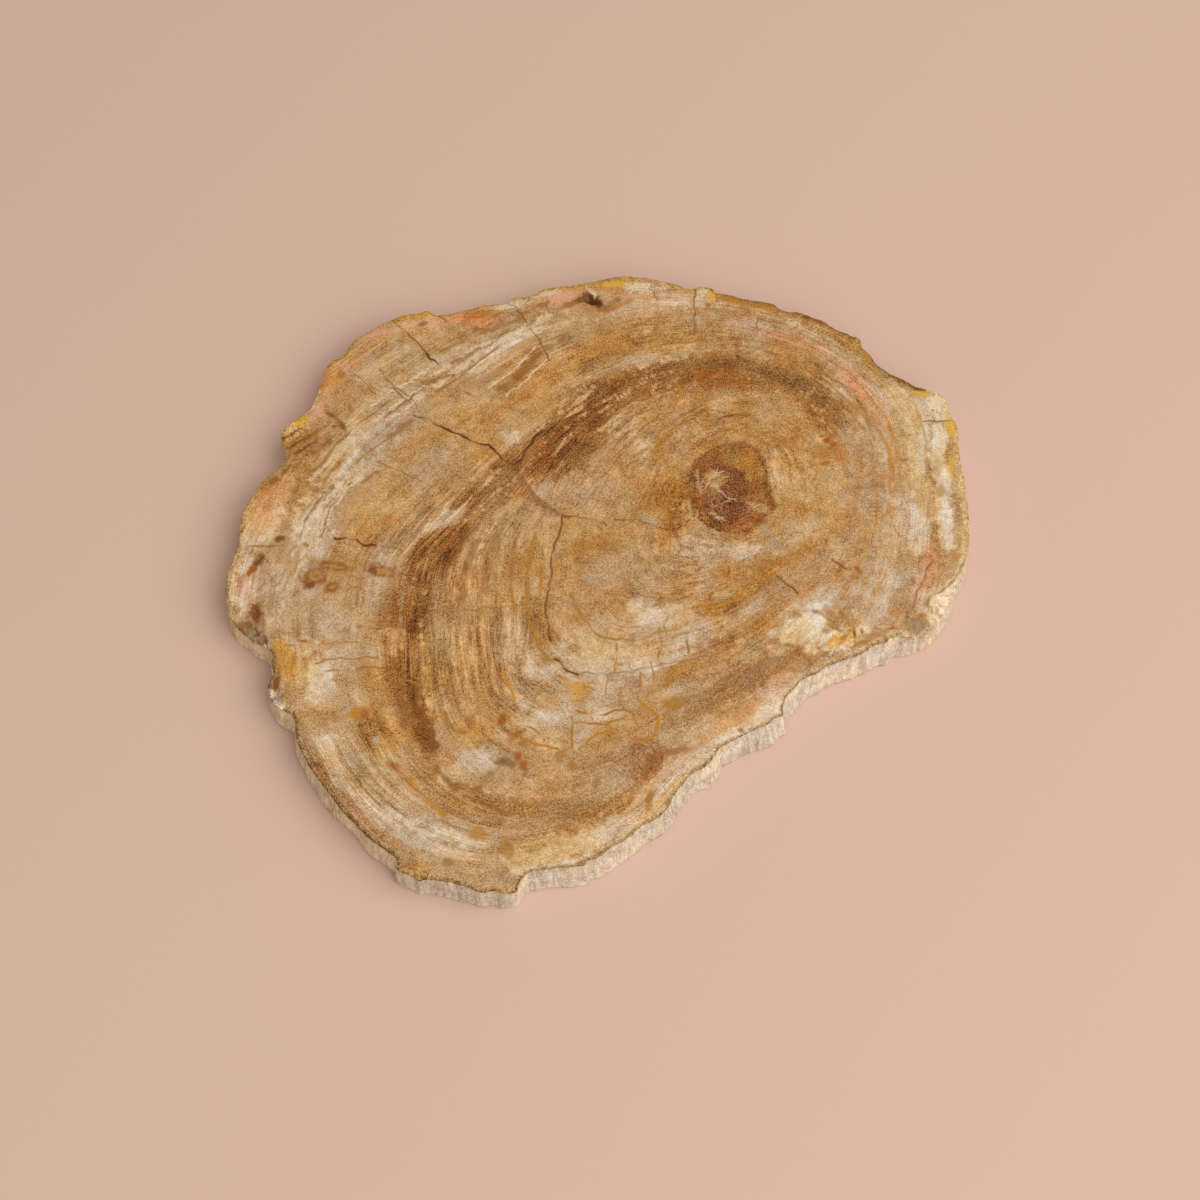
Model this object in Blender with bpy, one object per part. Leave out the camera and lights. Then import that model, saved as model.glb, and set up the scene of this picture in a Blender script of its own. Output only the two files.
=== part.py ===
"""Petrified wood cutting board: one stone slab sawn across a fossil log.

The top is polished flat and the foot is sawn flat. The edge between them is the outside of
the log: broken fibres that run from face to face, a worn lip at the top, and knuckles and
chips where the bark has come away. Metres, +Z up, origin under the middle of the slab.
"""

import math
from dataclasses import dataclass

import bmesh
import bpy
import numpy as np
from mathutils import Vector, noise
from mathutils.geometry import delaunay_2d_cdt

# Driving dimensions, in metres
LENGTH = 0.400
THICKNESS = 0.020

# The slab is drawn below in millimetres, this thick, and then brought to those dimensions
DRAWN_THICKNESS = 20.0

# How finely the faceted solid follows the stone, in drawn millimetres
RIM_STEP = 3.0
CURVE_STEPS = 12
WALL_ROWS = 6
LIP_LOOPS = ((1.8, 1), (5.0, 2))  # (inset from the rim, one point for every so many of the rim's)
LIP_CLEARANCE = 0.85
FACE_STEP = 13.0
FOOT_STEP = 26.0
GRID_MARGIN = 0.45
SMALLEST_GAP = 1e-6

# Relief of the edge, in drawn millimetres: (depth, width of a fibre, stretch along the fibre)
FIBRES = ((1.6, 14.0, 4.0), (1.3, 5.0, 5.0))
LEDGE_DEPTH = 1.0
LEDGE_WIDTH = 22.0
LEDGE_HEIGHT = 6.0
FOOT_ROUND = 0.6
TRAIT_BLEND = 6.0

# How the lip and the hollows fall away from the polished face
LIP_CURVE = 1.4
CHIP_REACH = 1.15
CHIP_CURVE = 0.8
CHIP_ROUGHNESS = 0.35
CHIP_GRAIN = 4.5
PIT_STEEPNESS = 1.6
PIT_LOOPS = (0.5, 1.02)
PIT_SIDES = 9
PIT_CLEARANCE = 1.35
PIT_TO_RIM = 1.0

STONE_COLOUR = (0.58, 0.42, 0.24, 1.0)
STONE_ROUGHNESS = 0.4
SHARP_ANGLE = math.radians(38)


@dataclass(frozen=True)
class Stretch:
    """A stretch of the rim, anticlockwise seen from above, in drawn millimetres.

    lip is the width of the worn band inside the rim and drop how far it falls below the face.
    flare is how far the foot stands outside the rim.
    """

    points: tuple
    lip: float
    drop: float
    flare: float


@dataclass(frozen=True)
class Hollow:
    """A place that lies below the polished face: an ellipse and its depth, in drawn millimetres."""

    x: float
    y: float
    half_length: float
    half_width: float
    turn: float
    depth: float


RIM = (
    Stretch(  # right side
        ((196, 2), (198, 10), (199.2, 22), (199.5, 34), (198.5, 54), (197, 67), (197.5, 80), (197, 86),
         (195.5, 90), (193.5, 94), (193, 99), (191.5, 103.5), (188, 107.5), (180, 111)),
        lip=3.0, drop=0.9, flare=0.8),
    Stretch(  # rough brown rim, upper right
        ((176, 112.5), (171, 116.5), (164, 120.5), (161, 122.3), (158, 125), (155, 128), (153, 131),
         (151, 135), (146.3, 140), (146.7, 143.5), (145, 146.5), (140, 148), (131, 153), (127, 156.5),
         (121, 159.5), (113, 163), (107, 163.5), (102, 165.5), (99, 168), (97, 169.5), (84, 172),
         (78, 173.5), (75, 175), (66, 176.5)),
        lip=5.5, drop=2.4, flare=0.5),
    Stretch(  # yellow lip along the top
        ((64, 179), (60, 180.2), (56, 180.5), (53, 179), (47.5, 179.2), (44, 181.5), (38, 183.5),
         (30, 185.5), (20, 187.2), (12, 187.7), (5, 186.6), (-8, 183), (-24, 180.3), (-30, 179.5),
         (-34, 178), (-38, 175), (-43, 173.5), (-48, 173), (-51, 171.5), (-53, 168.5)),
        lip=5.0, drop=1.6, flare=0.5),
    Stretch(  # upper left
        ((-62, 168), (-68, 167), (-73, 165), (-84, 162), (-93, 160.5), (-96, 162), (-98, 163.3),
         (-101, 163), (-106, 161.5), (-112, 160.5), (-121, 156), (-131, 150), (-139, 144), (-143, 136),
         (-146, 131.5), (-150, 130.5), (-153, 127), (-155.5, 123.5), (-155, 121), (-158, 108),
         (-161, 99), (-163, 96), (-171, 89), (-174.5, 86), (-176.5, 82), (-176.3, 77), (-174, 72),
         (-171.5, 69.5)),
        lip=3.5, drop=1.3, flare=0.5),
    Stretch(  # left side
        ((-173, 65), (-176, 60), (-181, 55), (-186, 50), (-191, 40), (-194.5, 30), (-195.3, 20),
         (-196, 10), (-198, 3), (-200, -5), (-200.5, -14), (-199.5, -22), (-198, -30), (-195.5, -36)),
        lip=2.5, drop=0.9, flare=1.6),
    Stretch(  # the two knuckles on the left
        ((-191, -40), (-184, -46), (-177, -50.5), (-173.5, -54), (-173, -60), (-172, -66), (-174, -71),
         (-175, -75), (-173, -80), (-170, -84), (-166, -87), (-161, -90), (-159, -94)),
        lip=3.5, drop=1.6, flare=1.6),
    Stretch(  # lower left
        ((-158.5, -100), (-157, -106), (-153, -114), (-150, -120), (-142, -131), (-134, -142),
         (-126, -151), (-118, -159), (-110, -165), (-105, -169), (-103, -172), (-103, -176)),
        lip=2.0, drop=0.8, flare=1.6),
    Stretch(  # bottom
        ((-100, -178), (-96, -179.5), (-92, -182), (-88, -181.5), (-76, -183), (-70, -184.5),
         (-65, -186.5), (-60, -188.5), (-54, -187.5), (-50, -189), (-42.5, -188), (-41, -183)),
        lip=2.4, drop=1.1, flare=1.2),
    Stretch(  # lower right
        ((-38, -179), (-34, -177), (-22, -175.5), (-9, -174), (-7, -171.5), (-2, -170), (4, -165),
         (12, -160), (16, -157), (20, -153), (29, -148), (32, -145), (35, -141), (37, -136),
         (43, -128), (46, -124), (53, -120), (56, -117), (59, -113), (61, -109), (66, -106),
         (75, -101), (87, -95), (90, -92), (94.5, -90)),
        lip=2.0, drop=0.8, flare=3.6),
    Stretch(  # right shoulder
        ((95, -85), (96.5, -80), (99, -77), (104, -71), (108, -68), (113, -66), (117, -63), (125, -59),
         (136, -55), (145, -49), (150, -48), (153, -45), (157, -44)),
        lip=2.2, drop=0.9, flare=4.2),
    Stretch(  # the broken corner on the right
        ((162, -44.5), (167, -44), (172, -42), (176, -38.5), (179, -34), (182, -29), (186, -22),
         (189, -16), (192, -10), (194.5, -4)),
        lip=4.0, drop=2.2, flare=0.8),
)

# Chips that reach over the rim and fall outwards
CHIPS = (
    Hollow(-174, 78, 15, 11, 40, 3.2),
    Hollow(-188, -46, 15, 9, -35, 5.5),
    Hollow(-176, -79, 12, 8, -60, 4.5),
    Hollow(-96, -183, 15, 7, -10, 3.2),
    Hollow(-52, -191, 15, 6, 0, 2.6),
    Hollow(143, 150, 13, 6, -42, 3.6),
    Hollow(118, 163, 14, 6, -28, 2.8),
    Hollow(167, 121, 14, 5, -38, 3.0),
    Hollow(186, -26, 17, 9, 58, 7.5),
    Hollow(170, -46, 14, 9, 8, 5.5),
    Hollow(99, -84, 9, 5, 60, 3.0),
)

# Holes in the polished face: a rotted knot near the top, and slots where bark came out
PITS = (
    Hollow(-5.5, 170.5, 5.6, 3.2, -25, 2.6),
    Hollow(-183.5, -31, 5.5, 2.2, -72, 1.6),
    Hollow(-185, 1, 5.5, 2.0, 52, 1.4),
)

def clear_scene():
    """Removes every object of the startup scene."""
    for obj in list(bpy.data.objects):
        bpy.data.objects.remove(obj)


def catmull_rom(before, start, end, after, share):
    """A point between start and end on the smooth curve through four points."""
    return 0.5 * (
        2 * start
        + (end - before) * share
        + (2 * before - 5 * start + 4 * end - after) * share**2
        + (3 * start - before - 3 * end + after) * share**3
    )


def rim_samples(step):
    """The smooth closed rim at even steps.

    Returns its points, and for each point the lip, drop and flare of its stretch.
    """
    points = np.array([p for stretch in RIM for p in stretch.points], float)
    traits = np.array([(s.lip, s.drop, s.flare) for s in RIM for _ in s.points], float)
    count = len(points)
    shares = np.linspace(0, 1, CURVE_STEPS, endpoint=False)
    fine = []
    for i in range(count):
        four = [points[(i + k) % count] for k in (-1, 0, 1, 2)]
        for share in shares:
            mixed = traits[i] * (1 - share) + traits[(i + 1) % count] * share
            fine.append((*catmull_rom(*four, share), *mixed))
    fine = np.array(fine + fine[:1])
    along = np.concatenate([[0], np.cumsum(np.hypot(*np.diff(fine[:, :2], axis=0).T))])
    places = np.linspace(0, along[-1], round(along[-1] / step), endpoint=False)
    even = np.stack([np.interp(places, along, column) for column in fine.T], 1)
    return even[:, :2], smoothed(even[:, 2:], round(TRAIT_BLEND / step))


def smoothed(values, reach):
    """Values along the closed rim, each averaged with reach neighbours on either side."""
    shifts = range(-reach, reach + 1)
    return sum(np.roll(values, k, axis=0) for k in shifts) / len(shifts)


def outward_normals(points, reach):
    """The rim's outward directions, averaged over reach neighbours so that rows don't cross."""
    tangent = np.roll(points, -1, axis=0) - np.roll(points, 1, axis=0)
    normal = smoothed(np.stack([tangent[:, 1], -tangent[:, 0]], 1), reach)
    return normal / np.linalg.norm(normal, axis=1, keepdims=True)


def distance_to_rim(places, rim):
    """For each place, its distance to the rim and the number of the nearest rim point."""
    start, end = rim, np.roll(rim, -1, axis=0)
    run = end - start
    offset = places[:, None] - start[None]
    share = np.clip((offset * run).sum(2) / (run**2).sum(1), 0, 1)
    gap = np.linalg.norm(offset - share[..., None] * run, axis=2)
    return gap.min(1), gap.argmin(1)


def inside(places, rim):
    """Which places lie inside the closed rim."""
    start, end = rim, np.roll(rim, -1, axis=0)
    x, y = places[:, :1], places[:, 1:]
    spans = (start[:, 1] > y) != (end[:, 1] > y)
    rise = np.where(end[:, 1] == start[:, 1], 1.0, end[:, 1] - start[:, 1])
    crossing = start[:, 0] + (y - start[:, 1]) / rise * (end[:, 0] - start[:, 0])
    return (spans & (x < crossing)).sum(1) % 2 == 1


def interior_grid(outline, step, margin):
    """The points of a triangular grid that lie inside an outline by at least a margin."""
    low, high = outline.min(0), outline.max(0)
    rows = np.arange(low[1], high[1], step * math.sqrt(3) / 2)
    columns = np.arange(low[0], high[0], step)
    grid = np.array([(x + step / 2 * (k % 2), y) for k, y in enumerate(rows) for x in columns])
    grid = grid[inside(grid, outline)]
    return grid[distance_to_rim(grid, outline)[0] > margin]


def ellipse_reach(hollow, places):
    """How far out each place lies in a hollow: 0 at its middle and 1 at its edge."""
    turn = math.radians(hollow.turn)
    across = places - (hollow.x, hollow.y)
    along = across @ (math.cos(turn), math.sin(turn)) / hollow.half_length
    aside = across @ (-math.sin(turn), math.cos(turn)) / hollow.half_width
    return np.hypot(along, aside)


def face_drop(places, rim, traits):
    """How far the top lies below the polished face at each place, in drawn millimetres."""
    gap, nearest = distance_to_rim(places, rim)
    lip, drop, _ = traits[nearest].T
    fall = drop * np.clip(1 - gap / lip, 0, 1) ** LIP_CURVE
    grain = [noise.noise(Vector((x / CHIP_GRAIN, y / CHIP_GRAIN, 0))) for x, y in places]
    rough = 1 + CHIP_ROUGHNESS * np.array(grain)
    for chip in CHIPS:
        share = np.clip(CHIP_REACH - ellipse_reach(chip, places), 0, 1) ** CHIP_CURVE
        fall = np.maximum(fall, chip.depth * share * rough)
    for pit in PITS:
        share = np.clip(PIT_STEEPNESS * (1 - ellipse_reach(pit, places)), 0, 1)
        fall = np.maximum(fall, pit.depth * share)
    return fall


def pit_points(pit):
    """The middle of a pit, a loop on its floor and a loop on its edge."""
    turn = math.radians(pit.turn)
    points = [(pit.x, pit.y)]
    for reach in PIT_LOOPS:
        for k in range(PIT_SIDES):
            angle = 2 * math.pi * (k + reach) / PIT_SIDES
            along = reach * pit.half_length * math.cos(angle)
            aside = reach * pit.half_width * math.sin(angle)
            points.append((
                pit.x + along * math.cos(turn) - aside * math.sin(turn),
                pit.y + along * math.sin(turn) + aside * math.cos(turn),
            ))
    return np.array(points)


def face_points(rim, normals):
    """The points inside the rim that carry the top: pits, lip loops and a coarse grid."""
    pits = np.concatenate([pit_points(pit) for pit in PITS])
    kept = [pits[inside(pits, rim) & (distance_to_rim(pits, rim)[0] > PIT_TO_RIM)]]
    for inset, every in LIP_LOOPS:
        loop = (rim - normals * inset)[::every]
        clear = distance_to_rim(loop, rim)[0] > inset * LIP_CLEARANCE
        kept.append(loop[clear & inside(loop, rim) & outside_pits(loop)])
    grid = interior_grid(rim, FACE_STEP, inset + FACE_STEP * GRID_MARGIN)
    kept.append(grid[outside_pits(grid)])
    return np.concatenate(kept)


def outside_pits(places):
    """Which places stay clear of the pits' own points."""
    return np.all([ellipse_reach(pit, places) > PIT_CLEARANCE for pit in PITS], axis=0)


def fill(loop, inner):
    """Fills a closed loop with triangles that use the inner points.

    Returns the triangles as numbers into the loop's points followed by the inner ones.
    """
    count = len(loop)
    points = [Vector(p) for p in np.concatenate([loop, inner])]
    edges = [(i, (i + 1) % count) for i in range(count)]
    found = delaunay_2d_cdt(points, edges, [], 1, SMALLEST_GAP)
    source = [ids[0] for ids in found[3]]
    return [[source[v] for v in face] for face in found[2]]


def wall_relief(x, y, z):
    """How far a fibre or a ledge of the edge stands out at a place, in drawn millimetres."""
    out = 0.0
    for depth, width, stretch in FIBRES:
        out += depth * noise.noise(Vector((x / width, y / width, z / (width * stretch))))
    ledge = noise.noise(Vector((x / LEDGE_WIDTH, y / LEDGE_WIDTH, z / LEDGE_HEIGHT)))
    return out + LEDGE_DEPTH * ledge


def wall_loops(rim, traits, normals, rim_height):
    """The closed loops of the edge below the rim, from the top row down to the foot.

    The last but one is at the top of the foot's small rounding.
    """
    loops = []
    for row in range(1, WALL_ROWS + 1):
        share = row / WALL_ROWS
        fade = min(1.0, 2 * share)
        inset = FOOT_ROUND if row == WALL_ROWS else 0.0
        loop = []
        for (x, y), (_, _, flare), (nx, ny), top in zip(rim, traits, normals, rim_height):
            z = FOOT_ROUND if row == WALL_ROWS - 1 else top * (1 - share)
            out = flare * share + wall_relief(x, y, z) * fade - inset
            loop.append((x + nx * out, y + ny * out, z))
        loops.append(np.array(loop))
    return loops


def stone_material():
    """Honey-brown silicified wood, polished to a satin."""
    material = bpy.data.materials.new("petrified_wood")
    material.use_nodes = True
    shader = material.node_tree.nodes["Principled BSDF"]
    shader.inputs["Base Color"].default_value = STONE_COLOUR
    shader.inputs["Roughness"].default_value = STONE_ROUGHNESS
    shader.inputs["Metallic"].default_value = 0.0
    return material


def slab_mesh():
    """The whole stone as one closed bmesh, as drawn, its foot on the ground."""
    rim, traits = rim_samples(RIM_STEP)
    normals = outward_normals(rim, 1)
    inner = face_points(rim, normals)
    top = np.concatenate([rim, inner])
    heights = DRAWN_THICKNESS - face_drop(top, rim, traits)
    bm = bmesh.new()

    top_verts = [bm.verts.new((x, y, z)) for (x, y), z in zip(top, heights)]
    for face in fill(rim, inner):
        bm.faces.new([top_verts[v] for v in face])

    # The edge is a loft down through unlike sections
    above = top_verts[: len(rim)]
    for loop in wall_loops(rim, traits, normals, heights[: len(rim)]):
        below = [bm.verts.new(p) for p in loop]
        for i in range(len(rim)):
            j = (i + 1) % len(rim)
            bm.faces.new((above[i], below[i], below[j], above[j]))
        above = below

    foot = loop[:, :2]
    grid = interior_grid(foot, FOOT_STEP, FOOT_STEP * GRID_MARGIN)
    foot_verts = above + [bm.verts.new((x, y, 0.0)) for x, y in grid]
    for face in fill(foot, grid):
        bm.faces.new([foot_verts[v] for v in reversed(face)])

    bmesh.ops.recalc_face_normals(bm, faces=bm.faces)
    return bm


def bring_to_size(bm):
    """Scales the drawn slab to the driving dimensions and centres its box over the origin."""
    corners = np.array([v.co for v in bm.verts])
    lowest, highest = corners.min(0), corners.max(0)
    middle = (lowest + highest) / 2
    across = LENGTH / (highest[0] - lowest[0])
    bmesh.ops.translate(bm, vec=(-middle[0], -middle[1], -lowest[2]), verts=bm.verts)
    bmesh.ops.scale(bm, vec=(across, across, THICKNESS / DRAWN_THICKNESS), verts=bm.verts)


def build_board(collection):
    """Adds the slab to the collection as one object with its material."""
    bm = slab_mesh()
    bring_to_size(bm)
    mesh = bpy.data.meshes.new("petrified_wood_board")
    bm.to_mesh(mesh)
    bm.free()
    mesh.shade_smooth()
    mesh.set_sharp_from_angle(angle=SHARP_ANGLE)
    mesh.materials.append(stone_material())
    collection.objects.link(bpy.data.objects.new("petrified_wood_board", mesh))


def main():
    """Builds the board in a collection of its own."""
    clear_scene()
    collection = bpy.data.collections.new("petrified wood cutting board")
    bpy.context.scene.collection.children.link(collection)
    build_board(collection)


main()
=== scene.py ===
"""The looks of the petrified wood cutting board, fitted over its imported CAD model.

The stone is one piece, so it is one mesh: a polished face with the growth rings, cracks and
stains of the fossil log, a worn lip, a broken fibrous edge and a sawn underside. Everything is
drawn in millimetres as seen from above, and then brought to the size of the CAD node.
"""

import itertools
import logging
import math
from dataclasses import dataclass, field
from enum import Enum

import bpy
import numpy as np
from mathutils import Matrix, Vector, noise
from mathutils.geometry import delaunay_2d_cdt


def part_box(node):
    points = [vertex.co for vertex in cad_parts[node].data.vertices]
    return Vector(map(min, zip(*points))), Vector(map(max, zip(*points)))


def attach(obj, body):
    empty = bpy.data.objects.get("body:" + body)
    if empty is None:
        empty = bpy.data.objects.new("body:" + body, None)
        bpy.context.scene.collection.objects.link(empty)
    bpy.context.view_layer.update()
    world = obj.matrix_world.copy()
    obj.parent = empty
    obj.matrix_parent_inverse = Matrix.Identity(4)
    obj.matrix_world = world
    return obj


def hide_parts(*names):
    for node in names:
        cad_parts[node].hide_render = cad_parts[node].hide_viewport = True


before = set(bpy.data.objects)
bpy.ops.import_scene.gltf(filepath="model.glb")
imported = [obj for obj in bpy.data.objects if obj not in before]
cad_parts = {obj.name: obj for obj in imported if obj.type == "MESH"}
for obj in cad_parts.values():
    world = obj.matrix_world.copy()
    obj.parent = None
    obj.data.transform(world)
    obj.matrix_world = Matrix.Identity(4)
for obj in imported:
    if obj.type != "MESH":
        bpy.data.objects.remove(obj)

LOG = logging.getLogger("petrified_wood_board")

NODE = "petrified_wood_board"
SLOT = "petrified_wood"
Array = np.ndarray


# Colours and markings
class Tint(Enum):
    """The stone's colours, as sRGB values out of 255."""

    HONEY = (192, 146, 86)
    GOLD = (180, 129, 62)
    OCHRE = (169, 115, 40)
    TAN = (182, 140, 91)
    SAND = (190, 154, 112)
    BROWN = (148, 95, 40)
    AMBER = (184, 123, 36)
    IVORY = (224, 200, 166)
    LEMON = (214, 166, 64)
    ROSE = (214, 158, 124)
    UMBER = (127, 76, 26)
    PLUM = (124, 71, 38)
    DARK = (98, 52, 10)
    OLIVE = (116, 82, 34)
    RUST = (158, 84, 10)
    ORANGE = (190, 118, 50)
    BEIGE = (201, 170, 133)
    CREAM = (217, 190, 151)
    WHITE = (226, 204, 170)
    ASH = (188, 158, 121)
    GREY = (146, 118, 86)
    PEACH = (209, 168, 122)
    PINK = (208, 150, 104)
    SALMON = (202, 128, 78)
    YELLOW = (206, 148, 58)
    STRAW = (222, 186, 130)
    SLATE = (164, 146, 126)
    CHALK = (209, 194, 171)

    @property
    def rgb(self) -> Array:
        """The colour as three shares of one."""
        return np.array(self.value) / 255


(HONEY, GOLD, OCHRE, TAN, SAND, BROWN, AMBER, IVORY, LEMON, ROSE, UMBER, PLUM, DARK, OLIVE, RUST,
 ORANGE, BEIGE, CREAM, WHITE, ASH, GREY, PEACH, PINK, SALMON, YELLOW, STRAW, SLATE, CHALK) = Tint


@dataclass(frozen=True)
class Wash:
    """A soft patch of colour: an ellipse, in drawn millimetres and degrees.

    streaky is how far the grain of the wood breaks it up, from 0 to 1.
    """

    tint: Tint
    x: float
    y: float
    half_length: float
    half_width: float
    turn: float = 0
    strength: float = 0.6
    streaky: float = 0.3


@dataclass(frozen=True)
class Patch:
    """An ellipse on the face.

    Args:
        x: the middle's place along the slab.
        y: the middle's place across the slab.
        half_length: half the long diameter.
        half_width: half the short diameter.
        turn: the long diameter's angle from x, in degrees.
    """

    x: float
    y: float
    half_length: float
    half_width: float
    turn: float = 0


@dataclass(frozen=True)
class Band:
    """A soft band of colour along a path, in drawn millimetres."""

    tint: Tint
    points: tuple
    half_width: float
    strength: float
    streaky: float = 0.3


@dataclass(frozen=True)
class Line:
    """A crack or a vein along a path. width and depth are in drawn millimetres."""

    tint: Tint
    points: tuple
    width: float = 1.2
    strength: float = 0.6
    depth: float = 0


@dataclass(frozen=True)
class Blot:
    """A spot with a ragged edge, and a pale middle where hollow is above 0."""

    tint: Tint
    x: float
    y: float
    half_length: float
    half_width: float
    turn: float = 0
    strength: float = 0.6
    hollow: float = 0


@dataclass(frozen=True)
class Ring:
    """A growth ring: its age as a mean distance from the pith, and points that it runs through."""

    age: float
    points: tuple


def rows_of(kind: type, *rows: tuple) -> tuple:
    """Makes one mark of a kind from each row of its values."""
    return tuple(kind(*row) for row in rows)


def washes(*rows: tuple) -> tuple:
    """Makes a band of each row that has a path after its tint, and a wash of each other row."""
    return tuple((Band if isinstance(row[1], tuple) else Wash)(*row) for row in rows)


# The middle of the log, and its growth rings from the heart outwards
PITH = (67.0, 42.0)
RINGS = (
    Ring(26, (
        (93, 42), (92, 52), (90, 62), (86, 71), (75, 76), (61, 73), (50, 62), (47, 45), (50, 30), (58, 21),
        (70, 17), (85, 20), (93, 31))),
    Ring(60, (
        (128, 45), (129, 62), (124, 82), (110, 97), (90, 106), (72, 107), (50, 101), (30, 88), (12, 68),
        (-5, 45), (-17, 20), (-20, 0), (-16, -20), (-8, -37), (3, -47), (20, -46), (35, -41), (60, -33),
        (80, -24), (100, -10), (115, 8), (124, 28))),
    Ring(78, (
        (140, 48), (139, 70), (131, 90), (114, 105), (92, 114), (68, 117), (44, 112), (18, 98), (-5, 76),
        (-20, 52), (-28, 28), (-30, 0), (-31, -30), (-30, -52), (-15, -66), (0, -68), (20, -65), (40, -59),
        (60, -52), (75, -45), (90, -35), (110, -18), (127, 2), (136, 25))),
    Ring(118, (
        (151, 42), (150, 66), (143, 84), (129, 103), (111, 117), (90, 126), (60, 128), (30, 122), (0, 105),
        (-22, 88), (-48, 58), (-77, 25), (-96, 0), (-101, -30), (-101, -60), (-97, -88), (-86, -112),
        (-64, -133), (-35, -139), (0, -130), (30, -108), (50, -95), (72, -82), (95, -64), (118, -40),
        (136, -15), (147, 12))),
    Ring(150, (
        (160, 32), (162, 58), (160, 82), (152, 106), (130, 131), (100, 148), (60, 155), (20, 152),
        (-15, 140), (-50, 118), (-80, 92), (-110, 62), (-135, 30), (-148, 0), (-151, -40), (-146, -70),
        (-135, -100), (-115, -130), (-85, -153), (-50, -163), (-10, -153), (20, -133), (40, -112),
        (60, -98), (90, -76), (120, -52), (141, -25), (152, 2))),
    Ring(180, (
        (178, 50), (178, 82), (170, 112), (145, 138), (110, 160), (70, 174), (30, 180), (-10, 176),
        (-50, 158), (-85, 135), (-120, 105), (-150, 70), (-171, 35), (-184, 0), (-186, -40), (-172, -80),
        (-155, -115), (-130, -155), (-95, -179), (-40, -184), (10, -163), (40, -132), (60, -109),
        (95, -87), (120, -63), (155, -46), (169, -20), (176, 10))),
)

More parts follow.
